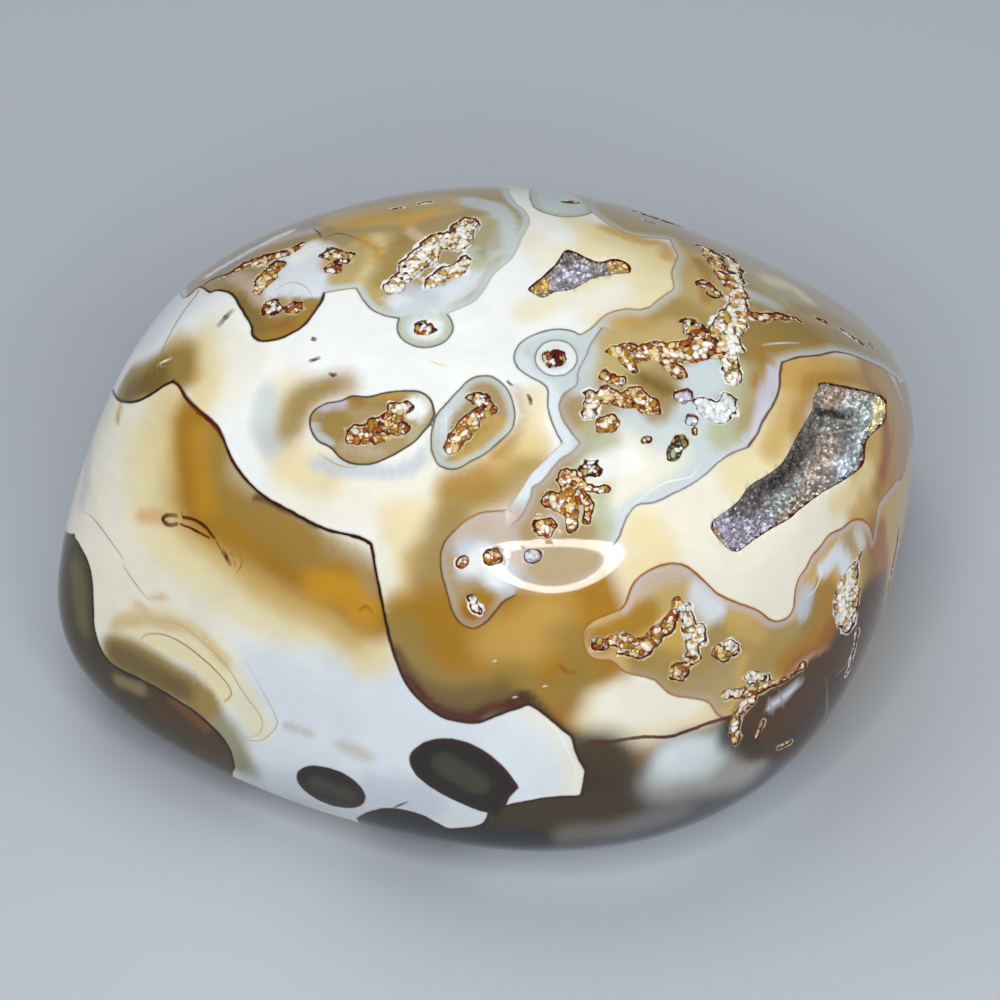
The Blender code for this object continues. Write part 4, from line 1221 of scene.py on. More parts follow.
def wanted_edge(points):
    """The longest edge that the mesh may have at points of the skin."""
    facing = skin_normal(points) @ EYE_OUT
    edge = np.where(facing > SEEN_FROM, EDGE_SEEN, EDGE_HIDDEN)
    for part in ZONES:
        for stroke, marks in part["outline"]:
            if marks[0, 0] > 0:
                away = nearest(points, stroke, EDGE_OUTLINE[1])[0]
                edge = np.where(away < EDGE_OUTLINE[1], np.minimum(edge, EDGE_OUTLINE[0]), edge)
    for line in CRACKS + VEINS:
        away = nearest(points, on_skin(flowing(line[3:], CHAIN_GAP)), EDGE_LINE[1])[0]
        edge = np.where(away < EDGE_LINE[1], np.minimum(edge, EDGE_LINE[0]), edge)
    gap = tube_gap(points, EDGE_TUBE_NEAR[1])[0]
    edge = np.where(gap < EDGE_TUBE_NEAR[1], np.minimum(edge, EDGE_TUBE_NEAR[0]), edge)
    edge = np.where(gap < EDGE_TUBE[1], EDGE_TUBE[0], edge)
    for stations in (LONG_HOLLOW, SMALL_HOLLOW):
        away = nearest(points, hollow_rim(stations)[0], EDGE_RIM[1])[0]
        edge = np.where(away < EDGE_RIM[1], EDGE_RIM[0], edge)
    return edge


def refined(ways, triangles, sides):
    """The mesh with its long edges cut in the middle, and each triangle cut to match in 2, 3 or 4."""
    count = len(ways)
    edges = np.sort(triangles[:, ((0, 1), (1, 2), (2, 0))], axis=-1).reshape(-1, 2)
    key, place = np.unique(edges[:, 0] * count + edges[:, 1], return_inverse=True)
    ends = np.stack((key // count, key % count), -1)
    points = skin_point(ways)
    length = np.linalg.norm(points[ends[:, 0]] - points[ends[:, 1]], axis=-1)
    middles = unit(ways[ends].sum(1))
    long = np.flatnonzero(length > EDGE_TUBE[0])
    cut = np.zeros(len(key), bool)
    cut[long] = length[long] > wanted_edge(skin_point(middles[long]))
    number = np.full(len(key), -1)
    number[cut] = count + np.arange(cut.sum())
    mids = number[place.ravel()].reshape(-1, 3)
    cuts = (mids >= 0).sum(1)
    turn = np.where(cuts == 1, (mids >= 0).argmax(1), np.where(cuts == 2, (mids < 0).argmax(1) + 1, 0))
    order = (np.arange(3) + turn[:, None]) % 3
    corners, mids = np.take_along_axis(triangles, order, 1), np.take_along_axis(mids, order, 1)
    both = np.concatenate((corners, mids), 1)
    patterns = {
        0: ((0, 1, 2),),
        1: ((0, 3, 2), (3, 1, 2)),
        2: ((3, 1, 4), (0, 3, 4), (0, 4, 2)),
        3: ((0, 3, 5), (3, 1, 4), (5, 4, 2), (3, 4, 5)),
    }
    made, kept = [], []
    for amount, pattern in patterns.items():
        chosen = np.flatnonzero(cuts == amount)
        for corner in pattern:
            made.append(both[chosen][:, corner])
            kept.append(sides[chosen])
    return np.concatenate((ways, middles[cut])), np.concatenate(made), np.concatenate(kept), cut.any()


def snapped(ways):
    """The directions with those close to a hollow's rim moved onto it, so that its edge is clean."""
    points = skin_point(ways)
    places = chart(points)
    for stations in (LONG_HOLLOW, SMALL_HOLLOW):
        inward, _, beside = hollow_inward(points, places, stations)
        close = np.abs(inward) < RIM_SNAP
        ways = np.where(close[:, None], unit(beside - HEART), ways)
    return ways


def atlas(ways, triangles, sides):
    """Each triangle corner's place on the flat map of the skin: the cube's six sides side by side."""
    frames = CUBE_SIDES[sides]
    parts = np.einsum("tcx,tax->tca", ways[triangles], frames)
    turned = np.arctan2(parts[..., :2], parts[..., 2:]) / (math.pi / 4)
    share = 0.5 + turned / 2 * (1 - 2 * ATLAS_MARGIN)
    cell = np.stack((sides % ATLAS[0], sides // ATLAS[0]), -1)[:, None]
    return ((cell + share) / ATLAS).reshape(-1, 2)


def placed(name, data):
    """A new object of the scene, with what it holds."""
    thing = bpy.data.objects.new(name, data)
    bpy.context.scene.collection.objects.link(thing)
    return thing


def new_piece(name, points, faces, material):
    """A piece with a smooth mesh of points in mm and faces of one size, which rides on the stone."""
    mesh = bpy.data.meshes.new(name)
    corners = faces.shape[1]
    mesh.vertices.add(len(points))
    mesh.vertices.foreach_set("co", (points * MM).astype(np.float32).ravel())
    mesh.loops.add(faces.size)
    mesh.loops.foreach_set("vertex_index", faces.astype(np.int32).ravel())
    mesh.polygons.add(len(faces))
    mesh.polygons.foreach_set("loop_start", np.arange(0, faces.size, corners, dtype=np.int32))
    mesh.update(calc_edges=True)
    mesh.shade_smooth()
    piece = placed(name, mesh)
    mesh.materials.append(material)
    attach(piece, "root")
    return piece


def write_value(mesh, name, values):
    """A number at each point of a mesh, which its material reads by name."""
    mesh.attributes.new(name, "FLOAT", "POINT").data.foreach_set("value", values.astype(np.float32))


def write_colour(mesh, name, colours, strength=None):
    """A colour at each point of a mesh, with a strength beside it."""
    strength = np.ones(len(colours)) if strength is None else strength
    rows = np.concatenate((colours[:, :3], strength[:, None]), 1).astype(np.float32)
    mesh.attributes.new(name, "FLOAT_COLOR", "POINT").data.foreach_set("color", rows.ravel())


def build_skin(colours, sizes):
    """The stone's polished skin, with open tubes and hollows let into it.

    It is a ball of directions laid on the rounded skin. Each point is then let in, square to the skin
    for an open tube and along the hollow's way out for a hollow.
    """
    ways, triangles, sides = cube_ball(CUBE_CELLS)
    for _ in range(EDGE_PASSES):
        ways, triangles, sides, grown = refined(ways, triangles, sides)
        if not grown:
            break
    ways = snapped(ways)
    skin = skin_point(ways)
    places = chart(skin)
    gap, size, number = tube_gap(skin)
    bowl = tube_depth(gap, size, sizes.tube_slope, sizes.tube_depth / MM)
    points = skin - bowl[:, None] * skin_normal(skin)
    rim_gap = np.full(len(skin), CRUST_REACH)
    for stations in (LONG_HOLLOW, SMALL_HOLLOW):
        inward, station, _ = hollow_inward(skin, places, stations)
        depth = hollow_depth(np.where(np.abs(inward) < RIM_SNAP, 0.0, inward), station, stations)
        points = points - depth[:, None] * hollow_outward(stations)
        rim_gap = np.minimum(rim_gap, -inward)
    piece = new_piece("polished_skin", points, triangles, skin_material(sizes))
    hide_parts("stone")
    mesh = piece.data
    mesh.uv_layers.new(name="OFBake").data.foreach_set("uv", atlas(ways, triangles, sides).ravel())
    # These colours include painted shade along the bottom edges and the lower front face, and painted
    # highlights at a few white specks and lines.
    tint, line, rim, depth = paint(skin, colours)
    write_colour(mesh, "ground_colour", tint[0])
    for layer in range(1, LAYERS):
        write_colour(mesh, f"zone_{layer}_colour", tint[layer])
        write_colour(mesh, f"zone_{layer}_line", line[layer], line[layer][:, 3])
        write_colour(mesh, f"zone_{layer}_rim", rim[layer], rim[layer][:, 3])
        write_value(mesh, f"zone_{layer}_depth", depth[layer])
    for name, lines in (("crack", CRACKS), ("vein", VEINS)):
        side, mark = line_marks(skin, lines, colours)
        write_value(mesh, f"{name}_side", side)
        write_colour(mesh, f"{name}_ink", mark, mark[:, 3])
    kinds = sorted(LININGS)
    kind_of = np.array([kinds.index(chain[0]) for chain in crust_chains()])
    # Inside a hollow the skin takes the hollow's dark grey bowl colour, a painted shade on its wall.
    lining = np.where(rim_gap < gap, kinds.index("hollow"), kind_of[number])
    bowls = np.array([colours[LININGS[kind][0]] for kind in kinds])
    bands = np.array([colours[LININGS[kind][1]] for kind in kinds])
    strengths = np.array([LININGS[kind][2] for kind in kinds])
    write_value(mesh, "open_gap", np.minimum(gap, rim_gap))
    write_colour(mesh, "open_bowl", bowls[lining])
    write_colour(mesh, "open_band", bands[lining], strengths[lining])
    return piece


# A lump of a lining: its rings and sides, its least and most radius in mm, and its height and length as
# shares of that. Then how closely lumps stand and the fewest in a tube, how far along and across it
# they reach, how deep and how far inside the rim they lie, how their sizes and tones lean, and how far
# a core's colour reaches
LUMP_RINGS = 5
LUMP_SIDES = 8
LUMP_RADIUS = (0.16, 0.46)
LUMP_HEIGHT = (0.55, 0.85)
LUMP_LENGTH = (0.9, 2.0)
LUMP_FULL_WIDTH = 0.6
LUMP_SIZE_LEAN = (1.2, 2.2)
LUMP_SPACING = 0.295
LUMP_LEAST = 6
LUMP_ENDS = (-0.1, 1.1)
LUMP_SPREAD = 0.92
LUMP_INSIDE = 0.4
LUMP_DEPTH = 0.75
LUMP_COVER = 1.03
LUMP_MIDDLE = 0.5
LUMP_TONE_LEAN = (1.4, 1.4)
LUMP_LAST_TONE = 0.999
LUMP_FLANK_TONE = 0.4
LUMP_BRIGHTNESS = (0.85, 1.15)
LUMP_CORE = (0.2, 0.9)
LUMP_SEED = 5


def ball_form(rings, sides):
    """The points and triangles of a ball: rings round an upright axis, closed by a point at each end."""
    rise = np.arange(1, rings) * math.pi / rings
    turn = np.arange(sides) * 2 * math.pi / sides
    around = np.stack((np.cos(turn), np.sin(turn)), -1)
    belt = np.concatenate((
        np.sin(rise)[:, None, None] * around,
        np.broadcast_to(np.cos(rise)[:, None, None], (rings - 1, sides, 1)),
    ), -1).reshape(-1, 3)
    points = np.concatenate((((0, 0, 1),), belt, ((0, 0, -1),)))
    side, ahead = np.arange(sides), (np.arange(sides) + 1) % sides
    faces = [np.stack((np.zeros(sides, int), 1 + side, 1 + ahead), -1)]
    for ring in range(rings - 2):
        here, below = 1 + ring * sides, 1 + (ring + 1) * sides
        faces.append(np.stack((here + side, below + side, below + ahead), -1))
        faces.append(np.stack((here + side, below + ahead, here + ahead), -1))
    last = 1 + (rings - 2) * sides
    faces.append(np.stack((np.full(sides, len(points) - 1), last + ahead, last + side), -1))
    return points, np.concatenate(faces)


def build_linings(colours, sizes):
    """The lumpy linings of the open tubes: many small flattened balls sunk in the bowls, none above the
    skin. Each is pale on top and dark down its flank, as a cut through its shells shows."""
    chance = np.random.default_rng(LUMP_SEED)
    places, radii, cores, flanks = [], [], [], []
    for kind, chain, widths in crust_chains():
        shades = np.array([colours[name] for name in LININGS[kind][3]])
        length = np.linalg.norm(np.diff(chain, axis=0), axis=-1).sum()
        area = (length + 2 * widths.mean()) * 2 * widths.mean()
        count = max(LUMP_LEAST, int(area / LUMP_SPACING ** 2 / 2))
        along = chance.uniform(*LUMP_ENDS, count).clip(0, 1) * (len(chain) - 1)
        index = np.arange(len(chain))
        middle = np.stack([np.interp(along, index, axis) for axis in chain.T], -1)
        width = np.interp(along, index, widths)
        turn, reach = chance.uniform(0, 2 * math.pi, count), np.sqrt(chance.uniform(0, 1, count))
        out = skin_normal(middle)
        right = unit(np.cross(out, EYE_UP))
        up = np.cross(out, right)
        offset = (width * LUMP_SPREAD * reach)[:, None] * (
            np.cos(turn)[:, None] * right + np.sin(turn)[:, None] * up)
        places.append(skin_point(unit(middle + offset - HEART)))
        spread = LUMP_RADIUS[0] + (LUMP_RADIUS[1] - LUMP_RADIUS[0]) * chance.beta(*LUMP_SIZE_LEAN, count)
        radii.append(spread * np.minimum(1, width / LUMP_FULL_WIDTH))
        tone = (1 - LUMP_MIDDLE) * chance.beta(*LUMP_TONE_LEAN, count) + LUMP_MIDDLE * (1 - reach)
        tone = np.minimum(tone / (1 - 0.5 * LUMP_MIDDLE), LUMP_LAST_TONE) * len(shades)
        cores.append(shades[tone.astype(int)] * chance.uniform(*LUMP_BRIGHTNESS, (count, 1)))
        flanks.append(shades[(LUMP_FLANK_TONE * tone).astype(int)])
    skin, radius = np.concatenate(places), np.concatenate(radii)
    core, flank = np.concatenate(cores), np.concatenate(flanks)
    gap, size, _ = tube_gap(skin)
    kept = gap < -LUMP_INSIDE * radius
    skin, radius, core, flank = skin[kept], radius[kept], core[kept], flank[kept]
    height = radius * chance.uniform(*LUMP_HEIGHT, len(skin))
    depth = tube_depth(gap[kept], size[kept], sizes.tube_slope, sizes.tube_depth / MM)
    out = skin_normal(skin)
    centre = skin - np.maximum(LUMP_DEPTH * depth, LUMP_COVER * height)[:, None] * out
    right = unit(np.cross(out, unit(chance.normal(size=skin.shape))))
    ahead = np.cross(out, right)
    long = (radius * chance.uniform(*LUMP_LENGTH, len(skin)))[:, None]
    frames = np.stack((right * long, ahead * radius[:, None], out * height[:, None]), 1)
    ball, faces = ball_form(LUMP_RINGS, LUMP_SIDES)
    points = centre[:, None] + np.einsum("pk,nkx->npx", ball, frames)
    every = faces + (np.arange(len(skin)) * len(ball))[:, None, None]
    piece = new_piece("tube_linings", points.reshape(-1, 3), every.reshape(-1, 3),
                      lining_material())
    share = smooth(ball[:, 2], *LUMP_CORE)[None, :, None]
    tint = flank[:, None] + (core - flank)[:, None] * share
    write_colour(piece.data, "lump_colour", tint.reshape(-1, 3).clip(0, 1))
    return piece


# The crust of crystals in a hollow: rows and columns of its sheet, its height over the hollow's floor
# and its thickness in mm, its least depth, how far it runs on outside the rim under the skin, and its
# waves by length and height with the depths between which they grow. Then a crystal: its sides, the
# area it has in square mm, its least and most radius in mm and height in radii, how much it may rise
# out of the sheet's depth, how far it leans and is sunk, and its form in shares of its height
SHEET_GRID = (120, 60)
SHEET_LIFT = 0.9
SHEET_THICKNESS = 0.35
SHEET_RIM_DEPTH = 0.3
SHEET_OVERLAP = 0.12
SHEET_WAVES = ((2.3, 0.30), (1.1, 0.16))
SHEET_SEED_STEP = 10
SHEET_WAVES_FROM = (0.4, 1.6)
SHEET_TONE = 0.5
CRYSTAL_SIDES = 6
CRYSTAL_ROOM = 0.085
CRYSTAL_RADIUS = (0.11, 0.25)
CRYSTAL_HEIGHT = (1.6, 2.8)
CRYSTAL_RISE = 1.1
CRYSTAL_LEAN = 0.28
CRYSTAL_SUNK = 0.35
CRYSTAL_TAPER = 0.94
CRYSTAL_SHOULDER = 0.55
CRYSTAL_FOOT = -0.1

# Colours over the crystals, as brush strokes on the sheet
DRUSE_GROUND = "ash"
DRUSE_STROKES = (
    ("lilac", 14, 16, 0.9, (722, 532), (740, 530), (756, 515)),
    ("mist", 8, 14, 0.8, (780, 505), (805, 488), (838, 472)),
    ("steel", 4, 10, 0.8, (862, 432), (852, 455), (836, 472)),
    ("blush", 8, 12, 0.8, (822, 448), (815, 480), (800, 510), (790, 522)),
    # Painted shade: darker grey down the long hollow's left side, where its left wall lies in shade.
    ("granite", 8, 12, 0.9, (806, 440), (785, 470), (762, 492), (742, 506)),
    ("soot", 3, 7, 0.6, (800, 452), (780, 478), (765, 488)),
    ("rose", 6, 8, 0.5, (830, 398), (856, 396)),
    # Painted shadow: a dark line under the upper step at the long hollow's top end.
    ("soot", 2, 4, 0.9, (818, 411), (838, 415), (858, 415)),
    ("mist", 6, 10, 0.7, (852, 404), (866, 412), (862, 428)),
    ("cream", 4, 5, 1.0, (880, 402), (881, 416), (874, 428)),
    ("honey", 5, 6, 0.9, (706, 528), (714, 540)),
    ("honey", 6, 7, 0.9, (530, 290), (541, 284)),
    ("honey", 6, 8, 0.8, (632, 268), (618, 266)),
    ("lilac", 6, 8, 0.7, (560, 280), (580, 272)),
)


def hollow_sheet(stations, overlap, lift, rim_depth):
    """The sheet of points of a hollow's crust: from end to end and from rim to rim.

    Each point lies under the place on the skin at that share of the hollow's length and width, by the
    hollow's own depth less the crust's lift, and never nearer to the skin than the rim depth.
    """
    table = np.array(stations, float)
    numbers = np.arange(len(table))
    along, across = [(1 - np.cos(np.linspace(0, math.pi, count))) / 2 for count in SHEET_GRID]
    length = np.linalg.norm(table[-1, 0:2] - table[0, 0:2]) * SHEET_UNIT
    stretched = 0.5 + (along - 0.5) * (1 + 2 * overlap / length)
    rims = flowing(table, SHEET_UNIT)
    steps = np.linspace(0, numbers[-1], len(rims))
    rims = np.stack([np.interp(stretched * numbers[-1], steps, column) for column in rims.T], -1)
    left, right = rims[:, None, 0:2], rims[:, None, 2:4]
    width = np.linalg.norm(right - left, axis=-1) * SHEET_UNIT
    share = 0.5 + (across - 0.5) * (1 + 2 * overlap / width)
    skin = on_skin(left + (right - left) * share[..., None])
    to_side = np.minimum(across, 1 - across)
    to_end = np.minimum(along, 1 - along)[:, None] * length
    floor = rims[:, 4:5]
    depth = floor * rounding(to_side, SIDE_ROUNDING) * rounding(to_end, END_ROUNDING)
    return skin, np.maximum(depth - lift, rim_depth)


def grid_triangles(rows, columns, first=0, turned=False):
    """The triangles of a grid of points whose numbers start at first."""
    corner = first + (np.arange(rows - 1)[:, None] * columns + np.arange(columns - 1)).ravel()
    lower = np.stack((corner, corner + 1, corner + columns + 1), -1)
    upper = np.stack((corner, corner + columns + 1, corner + columns), -1)
    faces = np.concatenate((lower, upper))
    return faces[:, ::-1] if turned else faces


def grid_edge(rows, columns):
    """The numbers of a grid's edge points in order, going round as its faces do."""
    return np.concatenate((
        np.arange(columns),
        np.arange(1, rows) * columns + columns - 1,
        (rows - 1) * columns + np.arange(columns - 2, -1, -1),
        np.arange(rows - 2, 0, -1) * columns,
    ))


def build_druse(name, node, stations, seed, colours):
    """One hollow's crust: a closed uneven sheet over the wall with six-sided quartz points on it."""
    chance = np.random.default_rng(seed)
    out = hollow_outward(stations)
    skin, depth = hollow_sheet(stations, SHEET_OVERLAP, SHEET_LIFT, SHEET_RIM_DEPTH)
    wave = sum(height * ripples(skin.reshape(-1, 3), length, seed + int(SHEET_SEED_STEP * length))
               for length, height in SHEET_WAVES).reshape(depth.shape)
    depth = np.maximum(depth + wave * smooth(depth, *SHEET_WAVES_FROM), SHEET_RIM_DEPTH)
    upper = skin - depth[..., None] * out
    lower = upper - SHEET_THICKNESS * out
    rows, columns = depth.shape
    count = rows * columns
    edge = grid_edge(rows, columns)
    ahead = np.roll(edge, -1)
    wall = np.concatenate((
        np.stack((edge, edge + count, ahead + count), -1), np.stack((edge, ahead + count, ahead), -1)))
    upward = (np.cross(upper[1, 0] - upper[0, 0], upper[0, 1] - upper[0, 0]) @ out) < 0
    faces = np.concatenate((
        grid_triangles(rows, columns, turned=not upward),
        grid_triangles(rows, columns, first=count, turned=upward),
        wall if upward else wall[:, ::-1],
    ))
    sheet = np.concatenate((upper.reshape(-1, 3), lower.reshape(-1, 3)))
    crystals, tones = druse_crystals(upper, depth, out, upward, chance)
    form_points, form_faces = crystal_form()
    every = form_faces + (len(sheet) + np.arange(len(tones)) * len(form_points))[:, None, None]
    points = np.concatenate((sheet, crystals.reshape(-1, 3)))
    piece = new_piece(name, points, np.concatenate((faces, every.reshape(-1, 3))),
                      druse_material())
    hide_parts(node)
    flat = np.zeros(len(piece.data.polygons), bool)
    flat[:len(faces)] = True
    piece.data.polygons.foreach_set("use_smooth", flat)
    places = on_sheet(points)
    tint = np.tile(colours[DRUSE_GROUND], (len(points), 1))
    # Some of these strokes are painted shade in the long hollow.
    for colour, half_width, fade, strength, *stroke in DRUSE_STROKES:
        line = flowing(stroke, CHAIN_GAP)
        share = stroke_share(places, (colour, half_width, fade, strength, line))
        tint = blend(tint, colours[colour], share)
    tone = np.concatenate((np.full(len(sheet), SHEET_TONE), np.repeat(tones, len(form_points))))
    write_colour(piece.data, "druse_colour", tint)
    write_value(piece.data, "druse_tone", tone)
    return piece


def crystal_form():
    """A quartz point of unit radius: a short six-sided column under a six-sided tip, closed below."""
    turn = np.arange(CRYSTAL_SIDES) * 2 * math.pi / CRYSTAL_SIDES
    ring = np.stack((np.cos(turn), np.sin(turn)), -1)
    low = np.concatenate((ring, np.full((CRYSTAL_SIDES, 1), 0.0)), 1)
    high = np.concatenate((ring * CRYSTAL_TAPER, np.full((CRYSTAL_SIDES, 1), CRYSTAL_SHOULDER)), 1)
    points = np.concatenate((low, high, ((0, 0, 1.0), (0, 0, CRYSTAL_FOOT))))
    side, ahead = np.arange(CRYSTAL_SIDES), (np.arange(CRYSTAL_SIDES) + 1) % CRYSTAL_SIDES
    tip, foot = np.full(CRYSTAL_SIDES, 2 * CRYSTAL_SIDES), np.full(CRYSTAL_SIDES, 2 * CRYSTAL_SIDES + 1)
    return points, np.concatenate((
        np.stack((side, ahead, CRYSTAL_SIDES + ahead), -1),
        np.stack((side, CRYSTAL_SIDES + ahead, CRYSTAL_SIDES + side), -1),
        np.stack((CRYSTAL_SIDES + side, CRYSTAL_SIDES + ahead, tip), -1),
        np.stack((ahead, side, foot), -1),
    ))


def druse_crystals(upper, depth, out, upward, chance):
    """The points of a crust's crystals, each set square to the sheet with a small lean, and their
    brightness. They stand evenly by area, and smaller where the sheet is close under the skin."""
    cell = np.cross(upper[1:, :-1] - upper[:-1, :-1], upper[:-1, 1:] - upper[:-1, :-1])
    area = np.linalg.norm(cell, axis=-1)
    normal = unit(cell) * (-1 if upward else 1)
    normal = np.where((normal @ out)[..., None] < 0, -normal, normal)
    chosen = chance.uniform(0, 1, area.shape) < area / CRYSTAL_ROOM
    row, column = np.nonzero(chosen)
    share = chance.uniform(0, 1, (2, len(row), 1))
    base = upper[row, column] + share[0] * (upper[row + 1, column] - upper[row, column])
    base = base + share[1] * (upper[row, column + 1] - upper[row, column])
    axis = unit(normal[row, column] + chance.normal(0, CRYSTAL_LEAN, (len(row), 3)))
    radius = chance.uniform(*CRYSTAL_RADIUS, len(row))
    height = radius * chance.uniform(*CRYSTAL_HEIGHT, len(row))
    room = np.minimum(1.0, CRYSTAL_RISE * depth[row, column] / height)
    radius, height = radius * np.sqrt(room), height * room
    right = unit(np.cross(axis, unit(chance.normal(size=(len(row), 3)))))
    ahead = np.cross(axis, right)
    frames = np.stack((right * radius[:, None], ahead * radius[:, None], axis * height[:, None]), 1)
    form = crystal_form()[0]
    base = base - axis * (CRYSTAL_SUNK * height)[:, None]
    return base[:, None] + np.einsum("pk,nkx->npx", form, frames), chance.uniform(0, 1, len(row))


def add(tree, kind, inputs=None, **settings):
    """A node with settings, and with a value or another node's output at each named input."""
    made = tree.nodes.new(kind)
    for name, value in settings.items():
        setattr(made, name, value)
    for key, value in (inputs or {}).items():
        if isinstance(value, bpy.types.NodeSocket):
            tree.links.new(value, made.inputs[key])
        else:
            made.inputs[key].default_value = value
    return made


def calculate(tree, operation, *terms):
    """The result of one sum on two numbers or outputs."""
    return add(tree, "ShaderNodeMath", dict(enumerate(terms)), operation=operation).outputs[0]


def rise(tree, value, low, high, bottom=0.0, top=1.0):
    """An S-shaped rise from bottom at low to top at high."""
    inputs = {"Value": value, "From Min": low, "From Max": high, "To Min": bottom, "To Max": top}
    return add(tree, "ShaderNodeMapRange", inputs, interpolation_type="SMOOTHSTEP").outputs["Result"]


def tinted(tree, share, below, above, blend_type="MIX"):
    """Colour below mixed with colour above by share."""
    inputs = {0: share, 6: below, 7: above}
    return add(tree, "ShaderNodeMix", inputs, data_type="RGBA", blend_type=blend_type).outputs[2]


def read(tree, name, output="Color"):
    """What a mesh attribute holds."""
    return add(tree, "ShaderNodeAttribute", attribute_name=name).outputs[output]


def noise(tree, per_metre, detail=2.0, roughness=0.5, distortion=0.0, seed=0.0):
    """Cloudy noise through the piece, about one cloud for each step of its scale."""
    place = add(tree, "ShaderNodeTexCoord").outputs["Object"]
    moved = add(tree, "ShaderNodeMapping", {"Vector": place, "Location": (seed, seed, seed)}).outputs[0]
    inputs = {
        "Vector": moved, "Scale": per_metre, "Detail": detail, "Roughness": roughness,
        "Distortion": distortion,
    }
    return add(tree, "ShaderNodeTexNoise", inputs).outputs["Fac"]


def opaque(colour):
    """A colour with full alpha, for a node's colour input."""
    return (*colour, 1.0)


def new_group(name, inputs, outputs):
    """A shader node group with named inputs and outputs, as its tree, its input and output nodes."""
    tree = bpy.data.node_groups.new(name, "ShaderNodeTree")
    for label, kind in inputs:
        tree.interface.new_socket(name=label, in_out="INPUT", socket_type=kind)
    for label, kind in outputs:
        tree.interface.new_socket(name=label, in_out="OUTPUT", socket_type=kind)
    return tree, tree.nodes.new("NodeGroupInput").outputs, tree.nodes.new("NodeGroupOutput").inputs


def brightened(tree, colour, light):
    """A colour multiplied by a brightness."""
    grey = add(tree, "ShaderNodeCombineColor", {0: light, 1: light, 2: light}).outputs[0]
    return tinted(tree, 1.0, colour, grey, "MULTIPLY")


def new_material(name):
    """A new material, with its node tree and its shader."""
    material = bpy.data.materials.new(name)
    material.use_nodes = True
    return material, material.node_tree, material.node_tree.nodes["Principled BSDF"]


# The numbers of the materials. CLOUDS is a cloudy noise by clouds to a metre and detail, SWAY a factor
# and a shift, and a RISE or FADE where it starts and ends, with the values there if not 0 and 1. Depths
# and distances are in mm. First a zone's edge: its wobble, its ink, where the zone's colour sets in
# outside and inside a soft edge, its rim, its fine bands, and its dark line with a stain beside it
EDGE_CLOUDS = (900, 3)
EDGE_SWAY = (0.16, -0.08)
INK_RISE = (0.02, 0.5)
SOFT_FADE = (0.0, 0.12, 1.0, 0.0)
OUTSIDE_SWAY = (-0.5, -0.03)
INSIDE_SWAY = (1.4, 0.03)
RIM_FADE = (0.25, 1.1, 1.0, 0.0)
BAND_CLOUDS = (250, 2)
BAND_BEND = 1.2
BAND_GAP = 0.42
BAND_FADE = (0.5, 3.2, 1.0, 0.0)
BAND_PATCH_CLOUDS = (120, 2)
BAND_PATCH_SEED = 3.0
BAND_PATCH_RISE = (0.4, 0.65)
WIDTH_SWAY = (0.8, 0.4)
UNEVEN_CLOUDS = (500, 2)
UNEVEN_SWAY = (1.2, 0.4)
STAIN_FADE = (0.0, 0.22, 0.4, 0.0)
EDGE_LINE_FADE = (-0.03, 0.04, 1.0, 0.0)

# A thin line: its wobble and its edge in half widths
THIN_CLOUDS = (1200, 2)
THIN_SWAY = (1.0, -0.5)
THIN_FADE = (0.7, 1.25, 1.0, 0.0)

# The skin: its cloudy brightness, the wobble of an open rim, the reach of the pale band round it, the
# rim, the bowl and the ridges in it, and how rough the polish and the bowl are
SKIN_CLOUDS = (160, 5, 0.6, 0.4)
SKIN_SWAY = (0.3, 0.85)
OPEN_CLOUDS = (1500, 2)
OPEN_SWAY = (0.16, -0.08)
REACH_CLOUDS = (700, 2)
REACH_SEED = 1.0
REACH_SWAY = (-0.8, 0.5)
OPEN_BAND_FADE = (0.15, 0.35, 1.0, 0.0)
OPEN_RIM_FADE = (0.02, 0.1, 1.0, 0.0)
BOWL_FADE = (-0.14, -0.05, 1.0, 0.0)
RIDGE_CLOUDS = (2200, 2)
RIDGE_SEED = 2.0
RIDGE_RISE = (0.42, 0.56)
POLISH_CLOUDS = (300, 3)
POLISH_SWAY = (0.04, 0.03)
BOWL_ROUGHNESS = 0.3
CHALCEDONY_IOR = 1.54

# A lump: its cloudy brightness, its fine grain with the strength and height of that in metres, and how
# rough it is. Then a crystal: how its tone makes it bright or dark, and rough
LUMP_CLOUDS = (2500, 3)
LUMP_SWAY = (0.4, 0.8)
LUMP_GRAIN = (5000, 2)
LUMP_GRAIN_STRENGTH = 0.25
LUMP_GRAIN_HEIGHT = 0.0001
LUMP_ROUGHNESS = 0.16
CRYSTAL_CONTRAST = 2.0
CRYSTAL_SWAY = (1.9, 0.4)
CRYSTAL_GLOSS_RISE = (0.2, 0.9, 0.3, 0.1)
QUARTZ_IOR = 1.55


